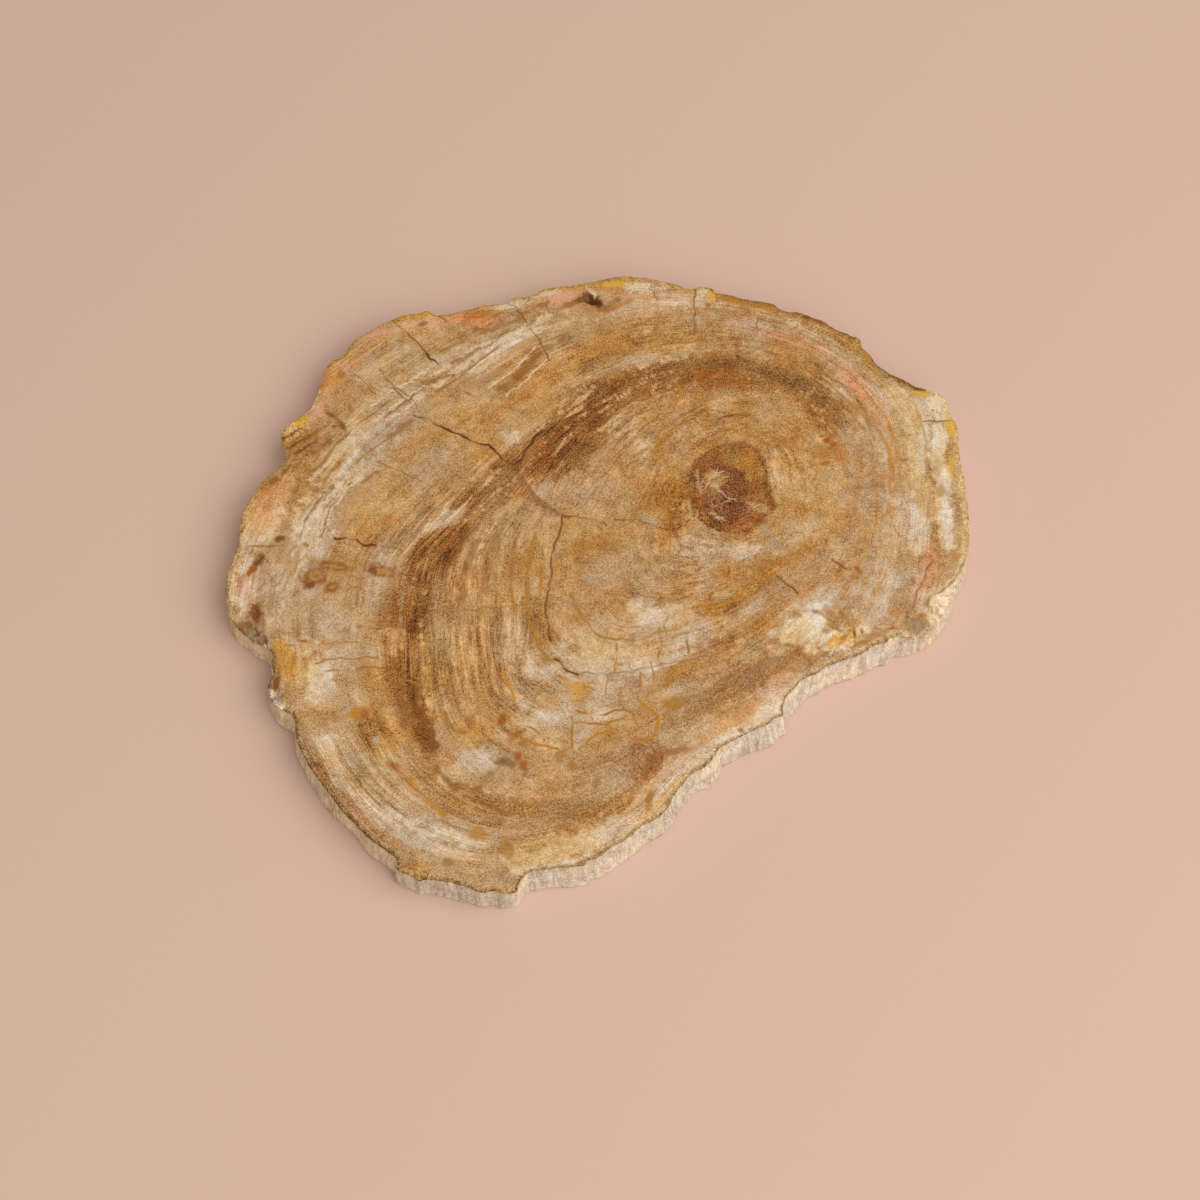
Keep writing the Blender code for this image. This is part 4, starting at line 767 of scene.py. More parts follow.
# Noise and geometry in the plane of the slab
class LatticeNoise:
    """Smooth noise from a seeded lattice of random values, the same on every run."""

    CELLS = 64

    def __init__(self, seed: int) -> None:
        """Draws the lattice.

        Args:
            seed: number that fixes the lattice's values.
        """
        self.values = np.random.default_rng(seed).uniform(-1, 1, (self.CELLS,) * 3)

    def sample(self, x: Array, y: Array, z: Array) -> Array:
        """Reads the noise.

        Args:
            x: places along the lattice's first axis, in cells.
            y: places along its second axis.
            z: places along its third axis.

        Returns:
            A value from -1 to 1 for each place.
        """
        place = np.stack(np.broadcast_arrays(x, y, z), -1)
        cell = np.floor(place).astype(int)
        share = place - cell
        share = share * share * (3 - 2 * share)
        total = np.zeros(place.shape[:-1])
        for corner in itertools.product((0, 1), repeat=3):
            weight = np.prod(np.where(corner, share, 1 - share), axis=-1)
            total += weight * self.values[tuple(np.moveaxis((cell + corner) % self.CELLS, -1, 0))]
        return total

    def layered(self, x: Array, y: Array, z: Array, layers: int = 3) -> Array:
        """Adds up finer and finer layers of the noise.

        Args:
            x: places along the first axis, in cells of the coarsest layer.
            y: places along the second axis.
            z: places along the third axis.
            layers: how many layers, each twice as fine and half as strong as the last.

        Returns:
            A value near -1 to 1 for each place.
        """
        total = sum(self.sample(x * 2**k, y * 2**k, z * 2**k + 7 * k) / 2**k for k in range(layers))
        return total / sum(1 / 2**k for k in range(layers))


def smoothstep(values: Array) -> Array:
    """Clips values to 0 to 1 and eases both ends."""
    share = np.clip(values, 0, 1)
    return share * share * (3 - 2 * share)


def added(shares: tuple, *layers: Array, start: float = 0.0) -> Array:
    """Adds layers up, each by its share."""
    return sum((share * layer for share, layer in zip(shares, layers)), start)


def smooth_path(points: tuple, step: float, closed: bool = False) -> Array:
    """Runs a smooth curve through points.

    Args:
        points: rows of numbers, of which the first two are a place.
        step: distance between the curve's points.
        closed: whether the curve comes back to its first point.

    Returns:
        One row for each point of the curve.
    """
    rows = np.array(points, float)
    ring = np.concatenate([rows[-1:], rows, rows[:2]] if closed else [rows[:1], rows, rows[-1:]])
    fine = []
    for before, start, end, after in zip(ring, ring[1:], ring[2:], ring[3:]):
        share = np.linspace(0, 1, 12, endpoint=False)[:, None]
        fine.append(0.5 * (
            2 * start + (end - before) * share
            + (2 * before - 5 * start + 4 * end - after) * share**2
            + (3 * start - before - 3 * end + after) * share**3))
    fine = np.concatenate([*fine, ring[-2:-1]])
    along = np.concatenate([[0], np.cumsum(np.hypot(*np.diff(fine[:, :2], axis=0).T))])
    count = max(2, round(along[-1] / step)) + (0 if closed else 1)
    places = np.linspace(0, along[-1], count, endpoint=not closed)
    return np.stack([np.interp(places, along, column) for column in fine.T], 1)


def path_distance(places: Array, path: Array) -> tuple[Array, Array]:
    """Measures how far places lie from a path.

    Args:
        places: one (x, y) row for each place.
        path: one (x, y) row for each point of the path.

    Returns:
        The distance of each place, and the number of the path's nearest stretch.
    """
    nearest = np.full(len(places), np.inf)
    number = np.zeros(len(places), int)
    for k, (start, end) in enumerate(zip(path, path[1:])):
        run = end - start
        offset = places - start
        share = np.clip(offset @ run / (run @ run), 0, 1)
        gap = np.hypot(offset[:, 0] - share * run[0], offset[:, 1] - share * run[1])
        closer = gap < nearest
        nearest[closer] = gap[closer]
        number[closer] = k
    return nearest, number


def looped(path: Array) -> Array:
    """A closed path with its first point again at its end."""
    return np.concatenate([path, path[:1]])


def near_box(places: Array, path: Array, reach: float) -> Array:
    """Which places lie within reach of a path's bounding box."""
    return np.all((places > path.min(0) - reach) & (places < path.max(0) + reach), axis=1)


def inside(places: Array, outline: Array) -> Array:
    """Which places lie inside a closed outline."""
    within = np.zeros(len(places), bool)
    x, y = places.T
    for (x0, y0), (x1, y1) in zip(outline, np.roll(outline, -1, axis=0)):
        if y0 != y1:
            within ^= ((y0 > y) != (y1 > y)) & (x < x0 + (y - y0) / (y1 - y0) * (x1 - x0))
    return within


def ellipse_reach(spot: "Wash | Blot | Patch | Hollow", places: Array) -> Array:
    """How far out each place lies in an ellipse: 0 at its middle and 1 at its edge."""
    turn = math.radians(spot.turn)
    across = places - (spot.x, spot.y)
    along = across @ (math.cos(turn), math.sin(turn)) / spot.half_length
    aside = across @ (-math.sin(turn), math.cos(turn)) / spot.half_width
    return np.hypot(along, aside)


class RingField:
    """The growth rings of the log as a smooth field over the slab."""

    SPREAD = 10.0

    def __init__(self) -> None:
        """Reads each ring's radius at every angle about the pith."""
        self.ages = [ring.age for ring in RINGS]
        self.curves = []
        for ring in RINGS:
            out = smooth_path(ring.points, 2.0, closed=True) - PITH
            angle = np.arctan2(out[:, 1], out[:, 0])
            order = np.argsort(angle)
            self.curves.append((angle[order], np.hypot(*out[order].T)))

    def coordinates(self, places: Array) -> Array:
        """Gives each place a position that follows the grain.

        Args:
            places: one (x, y) row for each place, in drawn millimetres.

        Returns:
            For each place two numbers that turn with its direction from the pith, and its
            ring's age in millimetres.
        """
        out = places - PITH
        angle = np.arctan2(out[:, 1], out[:, 0])
        distance = np.hypot(*out.T)
        radii = [np.interp(angle, *curve, period=2 * math.pi) for curve in self.curves]
        age = distance / radii[0] * self.ages[0]
        for k in range(len(radii) - 1):
            share = (distance - radii[k]) / (radii[k + 1] - radii[k])
            beyond = self.ages[k] + share * (self.ages[k + 1] - self.ages[k])
            age = np.where(distance > radii[k], beyond, age)
        return np.stack([self.SPREAD * np.cos(angle), self.SPREAD * np.sin(angle), age], 1)


class Rim:
    """The smooth closed rim at even steps, and what its stretches say at each step.

    The columns of traits are lip, drop, flare, crust_width, seam (the olive line
    along the rim, partly painted shade), and crust and wall as sRGB.
    """

    COLUMNS = 960
    BLEND = 5
    NORMAL_REACH = 3

    def __init__(self) -> None:
        """Samples the outline."""
        rows = [
            (*point, s.lip, s.drop, s.flare, s.crust_width, s.seam, *s.crust.rgb, *s.wall.rgb)
            for s in RIM for point in s.points]
        length = np.hypot(*np.diff(smooth_path(rows, 1.0, closed=True)[:, :2], axis=0).T).sum()
        even = smooth_path(rows, length / self.COLUMNS, closed=True)
        even = even[np.linspace(0, len(even), self.COLUMNS, endpoint=False).astype(int)]
        self.points = even[:, :2]
        self.traits = self.smoothed(even[:, 2:], self.BLEND)
        tangent = np.roll(self.points, -1, axis=0) - np.roll(self.points, 1, axis=0)
        normal = self.smoothed(np.stack([tangent[:, 1], -tangent[:, 0]], 1), self.NORMAL_REACH)
        self.normals = normal / np.linalg.norm(normal, axis=1, keepdims=True)

    @staticmethod
    def smoothed(values: Array, reach: int) -> Array:
        """Averages values along the rim with reach neighbours on either side."""
        shifts = range(-reach, reach + 1)
        return sum(np.roll(values, k, axis=0) for k in shifts) / len(shifts)

    def measure(self, places: Array) -> tuple[Array, Array]:
        """Measures places against the rim.

        Args:
            places: one (x, y) row for each place.

        Returns:
            Each place's distance to the rim and the traits of the rim's nearest point.
        """
        gap, number = path_distance(places, looped(self.points))
        return gap, self.traits[number]


class StonePainter:
    """Paints the stone's markings on places, as sRGB colours."""

    BASE = TAN
    CRACK_STEP = 1.2
    BAND_STEP = 6.0

    # Each layer of a displacement: its strength and its size, in drawn millimetres
    WARP = ((4.0, 22.0), (1.3, 5.0))
    JITTER = ((0.9, 9.0), (0.9, 2.6))
    HEART_JITTER = (0.8, 4.0)

    # Noise along the rings: its cells to a turn about the pith, and its size across the rings
    COARSE_STREAK = (0.7, 6.5)
    FINE_STREAK = (1.3, 2.6)
    RING_LINES = (0.35, 1.5)
    TORN_EDGE = (0.9, 5.0)
    RING_DRIFT = (0.5, 11.0)

    # Noise over the slab: its size in drawn millimetres, its height in the lattice, its layers
    MOTTLE = (9.0, 2.5, 3)
    SPECK = (3.2, 5.5, 2)
    GRAIN_PATCHES = (32.0, 12.5, 2)
    BROAD_DRIFT = (13.0, 15.5, 3)
    BLOT_EDGE = (2.4, 1.5, 3)
    LINE_EDGE = (4.0, 4.5, 2)
    CRUST_EDGE = (7.0, 2.5, 3)
    CRUST_MOTTLE = (3.5, 6.5, 2)

    # How strongly layers of noise add up, in the order in which face names them
    STREAKS = (0.60, 0.70)
    BREAKS = (1.1, 0.5, 0.9)
    TEARS = (0.30, 0.35)
    SHADES = (0.11, 0.10, 0.15, 0.12)
    DRIFTS = (0.7, 0.8)
    GRAIN_CONTRAST = 1.6

    # How strongly the shade and the drift act on red, green and blue
    SHADE = np.array([0.75, 1.0, 1.55])
    DRIFT = np.array([0.015, 0.065, 0.18])
    MIDDLE_LIGHT = 0.58
    CALMING = 0.85
    WASH_REACH = 1.35
    HEART_BROWN = 0.8
    HEART_EDGE = 0.06
    BLOT_REACH = 2.4
    LINE_MARGIN = 1.6
    LINE_PATCH = 5.0
    CRUST_COVER = 0.85

    # The broken edge: how strongly it is stained, rusted and weathered
    STAIN = 0.22
    RUST_STAIN = 0.25
    WEATHERED = 0.6

    def __init__(self, rim: Rim) -> None:
        """Prepares the noise and the paths.

        Args:
            rim: the slab's rim.
        """
        self.rim = rim
        self.rings = RingField()
        self.noise = LatticeNoise(11)
        self.veins = [(line, self.wandering(line)) for line in VEINS]
        self.cracks = [(line, self.wandering(line)) for line in CRACKS]

    def wandering(self, line: Line) -> Array:
        """A line's path with the small wander that a natural crack has."""
        path = smooth_path(line.points, self.CRACK_STEP)
        return path + sum(self.shift(path, *layer) for layer in self.JITTER)

    def shift(self, places: Array, amount: float, size: float) -> Array:
        """A small displacement of each place, in either direction."""
        x, y = places.T / size
        return amount * np.stack([self.noise.sample(x, y, 3.3), self.noise.sample(x, y, 9.7)], 1)

    def along(self, rings: Array, turns: float, size: float) -> Array:
        """Noise drawn out along the rings, at places in the rings' coordinates."""
        return self.noise.sample(rings[:, 0] * turns, rings[:, 1] * turns, rings[:, 2] / size)

    def over(self, places: Array, size: float, height: float, layers: int) -> Array:
        """Noise over the slab, the same in every direction."""
        return self.noise.layered(*(places.T / size), height, layers)

    def face(self, places: Array, worn: bool = True) -> Array:
        """Paints the polished face.

        Args:
            places: one (x, y) row for each place, in drawn millimetres.
            worn: whether the weathered rim, the chips and the pits are painted too.

        Returns:
            One row for each place: sRGB, and how much the grain shows.
        """
        rings = self.rings.coordinates(places)
        mottle = self.over(places, *self.MOTTLE)
        speck = self.over(places, *self.SPECK)
        shown = smoothstep(0.5 + self.GRAIN_CONTRAST * self.over(places, *self.GRAIN_PATCHES))
        for spot in CALM:
            shown *= 1 - self.CALMING * smoothstep(1.4 - ellipse_reach(spot, places))
        coarse, fine = self.along(rings, *self.COARSE_STREAK), self.along(rings, *self.FINE_STREAK)
        streak = added(self.STREAKS, coarse, fine) * (0.15 + 0.6 * shown)
        lines = self.along(rings, *self.RING_LINES) * (0.2 + 1.3 * shown)
        grain = np.clip(added(self.BREAKS, streak, lines, speck, start=0.5), 0, 1)
        torn = added(self.TEARS, self.along(rings, *self.TORN_EDGE), speck)
        warped = places + sum(self.shift(places, *layer) for layer in self.WARP)

        colour = np.tile(self.BASE.rgb, (len(places), 1))
        for wash in WASHES:
            self.lay(colour, wash, warped, grain, torn)
        self.paint_heart(colour, places, warped, grain, torn)
        shade = added(self.SHADES, streak, lines, mottle, speck)
        shade *= (self.MIDDLE_LIGHT / colour.mean(1).clip(0.25)) ** 1.3
        slow, broad = self.along(rings, *self.RING_DRIFT), self.over(places, *self.BROAD_DRIFT)
        drift = np.tanh(3.0 * added(self.DRIFTS, slow, broad))
        colour *= 1 + shade[:, None] * self.SHADE + drift[:, None] * self.DRIFT
        if worn:
            self.paint_crust(colour, places)
        return np.column_stack([colour, shown])

    def wash_mask(self, wash: Wash | Band, places: Array) -> Array:
        """How strongly a wash or a band covers each place, before the grain breaks it up."""
        if isinstance(wash, Wash):
            return self.WASH_REACH - ellipse_reach(wash, places)
        path = smooth_path(wash.points, self.BAND_STEP)
        mask = np.full(len(places), -1.0)
        near = near_box(places, path, 1.5 * wash.half_width)
        gap = path_distance(places[near], path)[0]
        mask[near] = self.WASH_REACH - gap / wash.half_width
        return mask

    def lay(self, colour: Array, wash: Wash | Band, places: Array, grain: Array,
            torn: Array) -> None:
        """Mixes a wash's tint into the colours that it covers.

        Args:
            colour: the colour of each place, which is changed.
            wash: the wash or band to lay.
            places: one (x, y) row for each place.
            grain: the wood's grain at each place, from 0 to 1, which breaks up a streaky wash.
            torn: how far the wash's edge is moved at each place.
        """
        mask = self.wash_mask(wash, places)
        solid = smoothstep((mask - 0.25 + torn) / 0.35)
        broken = smoothstep((smoothstep(mask) + 1.3 * grain - 1.25) / 0.3)
        cover = wash.strength * ((1 - wash.streaky) * solid + 1.15 * wash.streaky * broken)
        cover = np.clip(cover, 0, 1)[:, None]
        colour += (wash.tint.rgb - colour) * cover

    def paint_heart(self, colour: Array, places: Array, warped: Array,
                    grain: Array, torn: Array) -> None:
        """Paints the brown heart inside its outline.

        Args:
            colour: the colour of each place, which is changed.
            places: one (x, y) row for each place.
            warped: the same places as the washes see them.
            grain: the wood's grain at each place.
            torn: how far a wash's edge is moved at each place.
        """
        outline = smooth_path(HEART, 1.5, closed=True)
        near = np.flatnonzero(near_box(places, outline, 4))
        moved = places[near] + self.shift(places[near], *self.HEART_JITTER)
        gap = path_distance(moved, looped(outline))[0]
        depth = np.where(inside(moved, outline), gap, -gap)
        within = smoothstep(depth / 1.2 + 0.5)[:, None]
        heart = colour[near]
        heart += (BROWN.rgb - heart) * self.HEART_BROWN
        for wash in HEART_WASHES:
            self.lay(heart, wash, warped[near], grain[near], torn[near])
        edge = smoothstep(1 - np.abs(depth - 0.8) / 1.4)
        heart *= (1 - self.HEART_EDGE * edge)[:, None]
        colour[near] += (heart - colour[near]) * within

    def marks(self, places: Array) -> tuple[Array, Array]:
        """Finds the spot, vein or crack that is strongest at each place.

        The mask is 1 in the middle of a mark, a half on its edge and 0 well outside it, and the
        tint reaches as far as the mask does, so that the material can sharpen the edge.

        Args:
            places: one (x, y) row for each place, in drawn millimetres.

        Returns:
            The tint and strength of each place's mark as sRGB and alpha, and its mask.
        """
        tint = np.zeros((len(places), 4))
        tint[:, :3] = BROWN.rgb
        mask = np.zeros(len(places))
        for blot in BLOTS:
            reach = ellipse_reach(blot, places)
            near = np.flatnonzero(reach < self.BLOT_REACH)
            ragged = reach[near] + 0.9 * self.over(places[near], *self.BLOT_EDGE)
            cover = np.clip(1 - 0.5 * ragged, 0, 1)
            cover = np.minimum(cover, 1 - blot.hollow * np.clip(1.5 - 1.5 * ragged, 0, 1))
            self.keep_stronger(tint, mask, near, cover, blot)
        for line, path in self.veins + self.cracks:
            reach = line.width + self.LINE_MARGIN
            near = np.flatnonzero(near_box(places, path, reach))
            gap = path_distance(places[near], path)[0]
            near, gap = near[gap < reach], gap[gap < reach]
            uneven = 1 + 0.7 * self.over(places[near], *self.LINE_EDGE)
            cover = np.clip(1 - gap / (line.width * uneven), 0, 1)
            patches = self.noise.sample(*(places[near].T / self.LINE_PATCH), 8.5)
            cover *= np.clip(0.85 + patches, 0.35, 1)
            self.keep_stronger(tint, mask, near, cover, line)
        return tint, mask

    @staticmethod
    def keep_stronger(tint: Array, mask: Array, near: Array, cover: Array,
                      mark: Blot | Line) -> None:
        """Takes a mark over where it covers more than what is there.

        Args:
            tint: the tint and strength of each place's mark, which are changed.
            mask: the mask of each place, which is changed.
            near: the numbers of the places near the mark.
            cover: the mark's own mask at those.
            mark: the mark.
        """
        better = cover >= np.minimum(mask[near], 0.5)
        mask[near[better]] = cover[better]
        tint[near[better]] = (*mark.tint.rgb, min(1.0, 1.2 * mark.strength))

    def paint_crust(self, colour: Array, places: Array) -> None:
        """Paints the weathered rim, the chips and the pits, with painted shade in the pits' hollows and
        partly painted shade along the rim's olive line.
        """
        gap, traits = self.rim.measure(places)
        width, seam, crust = traits[:, 3], traits[:, 4], traits[:, 5:8]
        rough = self.over(places, *self.CRUST_EDGE)
        mottle = np.clip(0.75 + 0.9 * self.over(places, *self.CRUST_MOTTLE), 0.2, 1)
        cover = smoothstep((width * (1 + 0.7 * rough) - gap) / (0.6 * width))
        cover = self.CRUST_COVER * cover * mottle
        colour += (crust - colour) * cover[:, None]
        # The pits' dark tints are partly painted shade in their hollows
        for hollow in CHIPS + PITS:
            reach = ellipse_reach(hollow, places) + 0.25 * rough
            cover = self.CRUST_COVER * smoothstep((1.15 - reach) / 0.3) * mottle
            colour += (hollow.tint.rgb - colour) * cover[:, None]
        # The olive line along the rim: partly the rind's own colour, partly painted shade in the crevice
        # where the face meets the edge
        line = seam * smoothstep((1.7 + 1.3 * rough - gap) / 0.9)
        colour += (OLIVE.rgb - colour) * line[:, None]

    def wall(self, loops: list, thickness: float) -> Array:
        """Paints the broken edge.

        Args:
            loops: its loops, from the top row down.
            thickness: the slab's thickness in drawn millimetres.

        Returns:
            One sRGB row for each place, loop by loop.
        """
        seam, crust, wall = np.split(self.rim.traits[:, 4:], (1, 4), axis=1)
        rows = []
        for x, y, z in (loop.T for loop in loops):
            depth = thickness - z
            fibre = self.noise.layered(x / 3.0, y / 3.0, z / 16 + 0.5, 2)
            broad = self.noise.layered(x / 16, y / 16, z / 12 + 4.5, 3)
            rust = self.noise.layered(x / 6, y / 6, z / 9 + 8.5, 2)
            colour = wall.copy()
            for tint, cover in (
                    (STRAW.rgb, self.STAIN * smoothstep(1.6 * broad + 0.1)),
                    (HONEY.rgb, self.RUST_STAIN * smoothstep(2.2 * rust - 0.5)),
                    (crust, self.WEATHERED * smoothstep((2.6 + 2.5 * broad - depth) / 2.5)),
                    # the olive line just under the rim: partly the rind's own colour, partly painted shade
                    (OLIVE.rgb, seam[:, 0] * smoothstep((0.9 + 0.6 * fibre - depth) / 0.9))):
                colour += (tint - colour) * cover[:, None]
            colour *= (1 + 0.07 * fibre + 0.05 * broad)[:, None]
            rows.append(colour)
        return np.concatenate(rows)


# The mesh
@dataclass
class SlabShape:
    """The stone's surface, drawn in millimetres and then brought to the CAD node's box."""

    thickness: float = 20.0
    face_step: float = 1.42
    rim_clearance: float = 0.75
    strip_steps: tuple = (0.45, 1.0)
    strip_clearance: float = 1.45
    strip_width: float = 1.7
    wall_rows: int = 17
    foot_round: float = 0.6
    foot_step: float = 5.0
    foot_margin: float = 2.25
    rim_wander: tuple = ((0.35, 5.0), (0.22, 1.9))
    fibres: tuple = ((2.0, 17.0, 4.0), (0.5, 5.0, 5.0), (0.25, 2.0, 8.0))
    ledge: tuple = (1.0, 22.0, 6.0)
    lip_curve: float = 1.4
    chip_reach: float = 1.15
    chip_curve: float = 0.8
    chip_grains: tuple = ((0.35, 4.5), (0.30, 1.9))
    pit_steepness: float = 1.6
    crack_reach: float = 1.1
    gap: float = 1e-6

    rim: Rim = field(default_factory=Rim)

    def __post_init__(self) -> None:
        """Prepares the painter, the rim's small wander and the cracks' paths."""
        self.painter = StonePainter(self.rim)
        wander = [
            amount * self.painter.noise.sample(*(self.rim.points.T / size), 12.5)
            for amount, size in self.rim_wander]
        self.outline = self.rim.points + self.rim.normals * sum(wander)[:, None]

    def face_points(self) -> Array:
        """The points inside the rim: a fine grid, and close rows along each crack and vein."""
        grid = self.hexagonal(self.outline, self.face_step, self.rim_clearance)
        clear = np.ones(len(grid), bool)
        offsets = [0, *(step * way for step in self.strip_steps for way in (1, -1))]
        strips = []
        for line, path in self.painter.cracks + self.painter.veins:
            if line.width > self.strip_width:
                continue
            run = np.gradient(path, axis=0)
            side = np.stack([-run[:, 1], run[:, 0]], 1) / np.linalg.norm(run, axis=1)[:, None]
            near = np.flatnonzero(near_box(grid, path, self.strip_clearance))
            clear[near] &= path_distance(grid[near], path)[0] > self.strip_clearance
            strips.append(np.concatenate([path + side * offset for offset in offsets]))
        strips = np.concatenate(strips)
        strips = strips[inside(strips, self.outline)]
        strips = strips[path_distance(strips, looped(self.outline))[0] > self.rim_clearance]
        return self.thinned(np.concatenate([strips, grid[clear]]))

    @staticmethod
    def thinned(places: Array, cell: float = 0.4) -> Array:
        """Keeps the first place in each cell of a fine grid, so that none nearly meet."""
        keys = np.round(places / cell).astype(int)
        first = np.unique(keys, axis=0, return_index=True)[1]
        return places[np.sort(first)]

    @staticmethod
    def hexagonal(outline: Array, step: float, margin: float) -> Array:
        """The points of a triangular grid that lie inside an outline by at least a margin."""
        low, high = outline.min(0), outline.max(0)
        rows = np.arange(low[1], high[1], step * math.sqrt(3) / 2)
        columns = np.arange(low[0], high[0], step)
        x = columns[None, :] + step / 2 * (np.arange(len(rows)) % 2)[:, None]
        grid = np.stack([x.ravel(), np.repeat(rows, len(columns))], 1)
        grid = grid[inside(grid, outline)]
        return grid[path_distance(grid, looped(outline))[0] > margin]

    def fill(self, loop: Array, inner: Array) -> Array:
        """Fills a closed loop with triangles that use the inner points.

        Args:
            loop: the loop's points.
            inner: the points inside it.

        Returns:
            The triangles as numbers into the loop's points followed by the inner ones.
        """
        count = len(loop)
        points = [Vector(p) for p in np.concatenate([loop, inner])]
        edges = [(i, (i + 1) % count) for i in range(count)]
        found = delaunay_2d_cdt(points, edges, [], 1, self.gap)
        source = np.array([ids[0] for ids in found[3]])
        return source[np.array(found[2])]

    def face_drop(self, places: Array) -> Array:
        """How far the top lies below the polished face at each place."""
        gap, traits = self.rim.measure(places)
        lip, drop = traits[:, 0], traits[:, 1]
        fall = drop * np.clip(1 - gap / lip, 0, 1) ** self.lip_curve
        grain = [
            amount * np.array([noise.noise(Vector((x / size, y / size, 0))) for x, y in places])
            for amount, size in self.chip_grains]
        rough = 1 + sum(grain)
        for chip in CHIPS:
            share = np.clip(self.chip_reach - ellipse_reach(chip, places), 0, 1) ** self.chip_curve
            fall = np.maximum(fall, chip.depth * share * rough)
        for pit in PITS:
            share = np.clip(self.pit_steepness * (1 - ellipse_reach(pit, places)), 0, 1)
            fall = np.maximum(fall, pit.depth * share * rough)
        for line, path in self.painter.cracks:
            near = np.flatnonzero(near_box(places, path, line.width))
            gap = path_distance(places[near], path)[0]
            fall[near] += line.depth * smoothstep(self.crack_reach - gap / line.width)
        return fall

    def wall_relief(self, x: float, y: float, z: float) -> float:
        """How far a fibre or a ledge of the edge stands out at a place."""
        out = sum(
            depth * noise.noise(Vector((x / width, y / width, z / (width * stretch))))
            for depth, width, stretch in self.fibres)
        depth, width, height = self.ledge
        return out + depth * noise.noise(Vector((x / width, y / width, z / height)))

    def wall_loops(self, heights: Array) -> list[Array]:
        """The closed loops of the edge below the rim, down to the foot.

        Args:
            heights: the rim's height at each of its points.

        Returns:
            One array of places for each loop, the last of them on the ground.
        """
        loops = []
        for row in range(1, self.wall_rows + 1):
            share = row / self.wall_rows
            fade = min(1.0, 2 * share)
            inset = self.foot_round if row == self.wall_rows else 0.0
            z = heights * (1 - share)
            if row == self.wall_rows - 1:
                z = np.full(len(heights), self.foot_round)
            relief = np.array([self.wall_relief(x, y, h) for (x, y), h in zip(self.rim.points, z)])
            out = self.rim.traits[:, 2] * share + relief * fade - inset
            start = self.outline * (1 - fade) + self.rim.points * fade
            loops.append(np.column_stack([start + self.rim.normals * out[:, None], z]))
        return loops


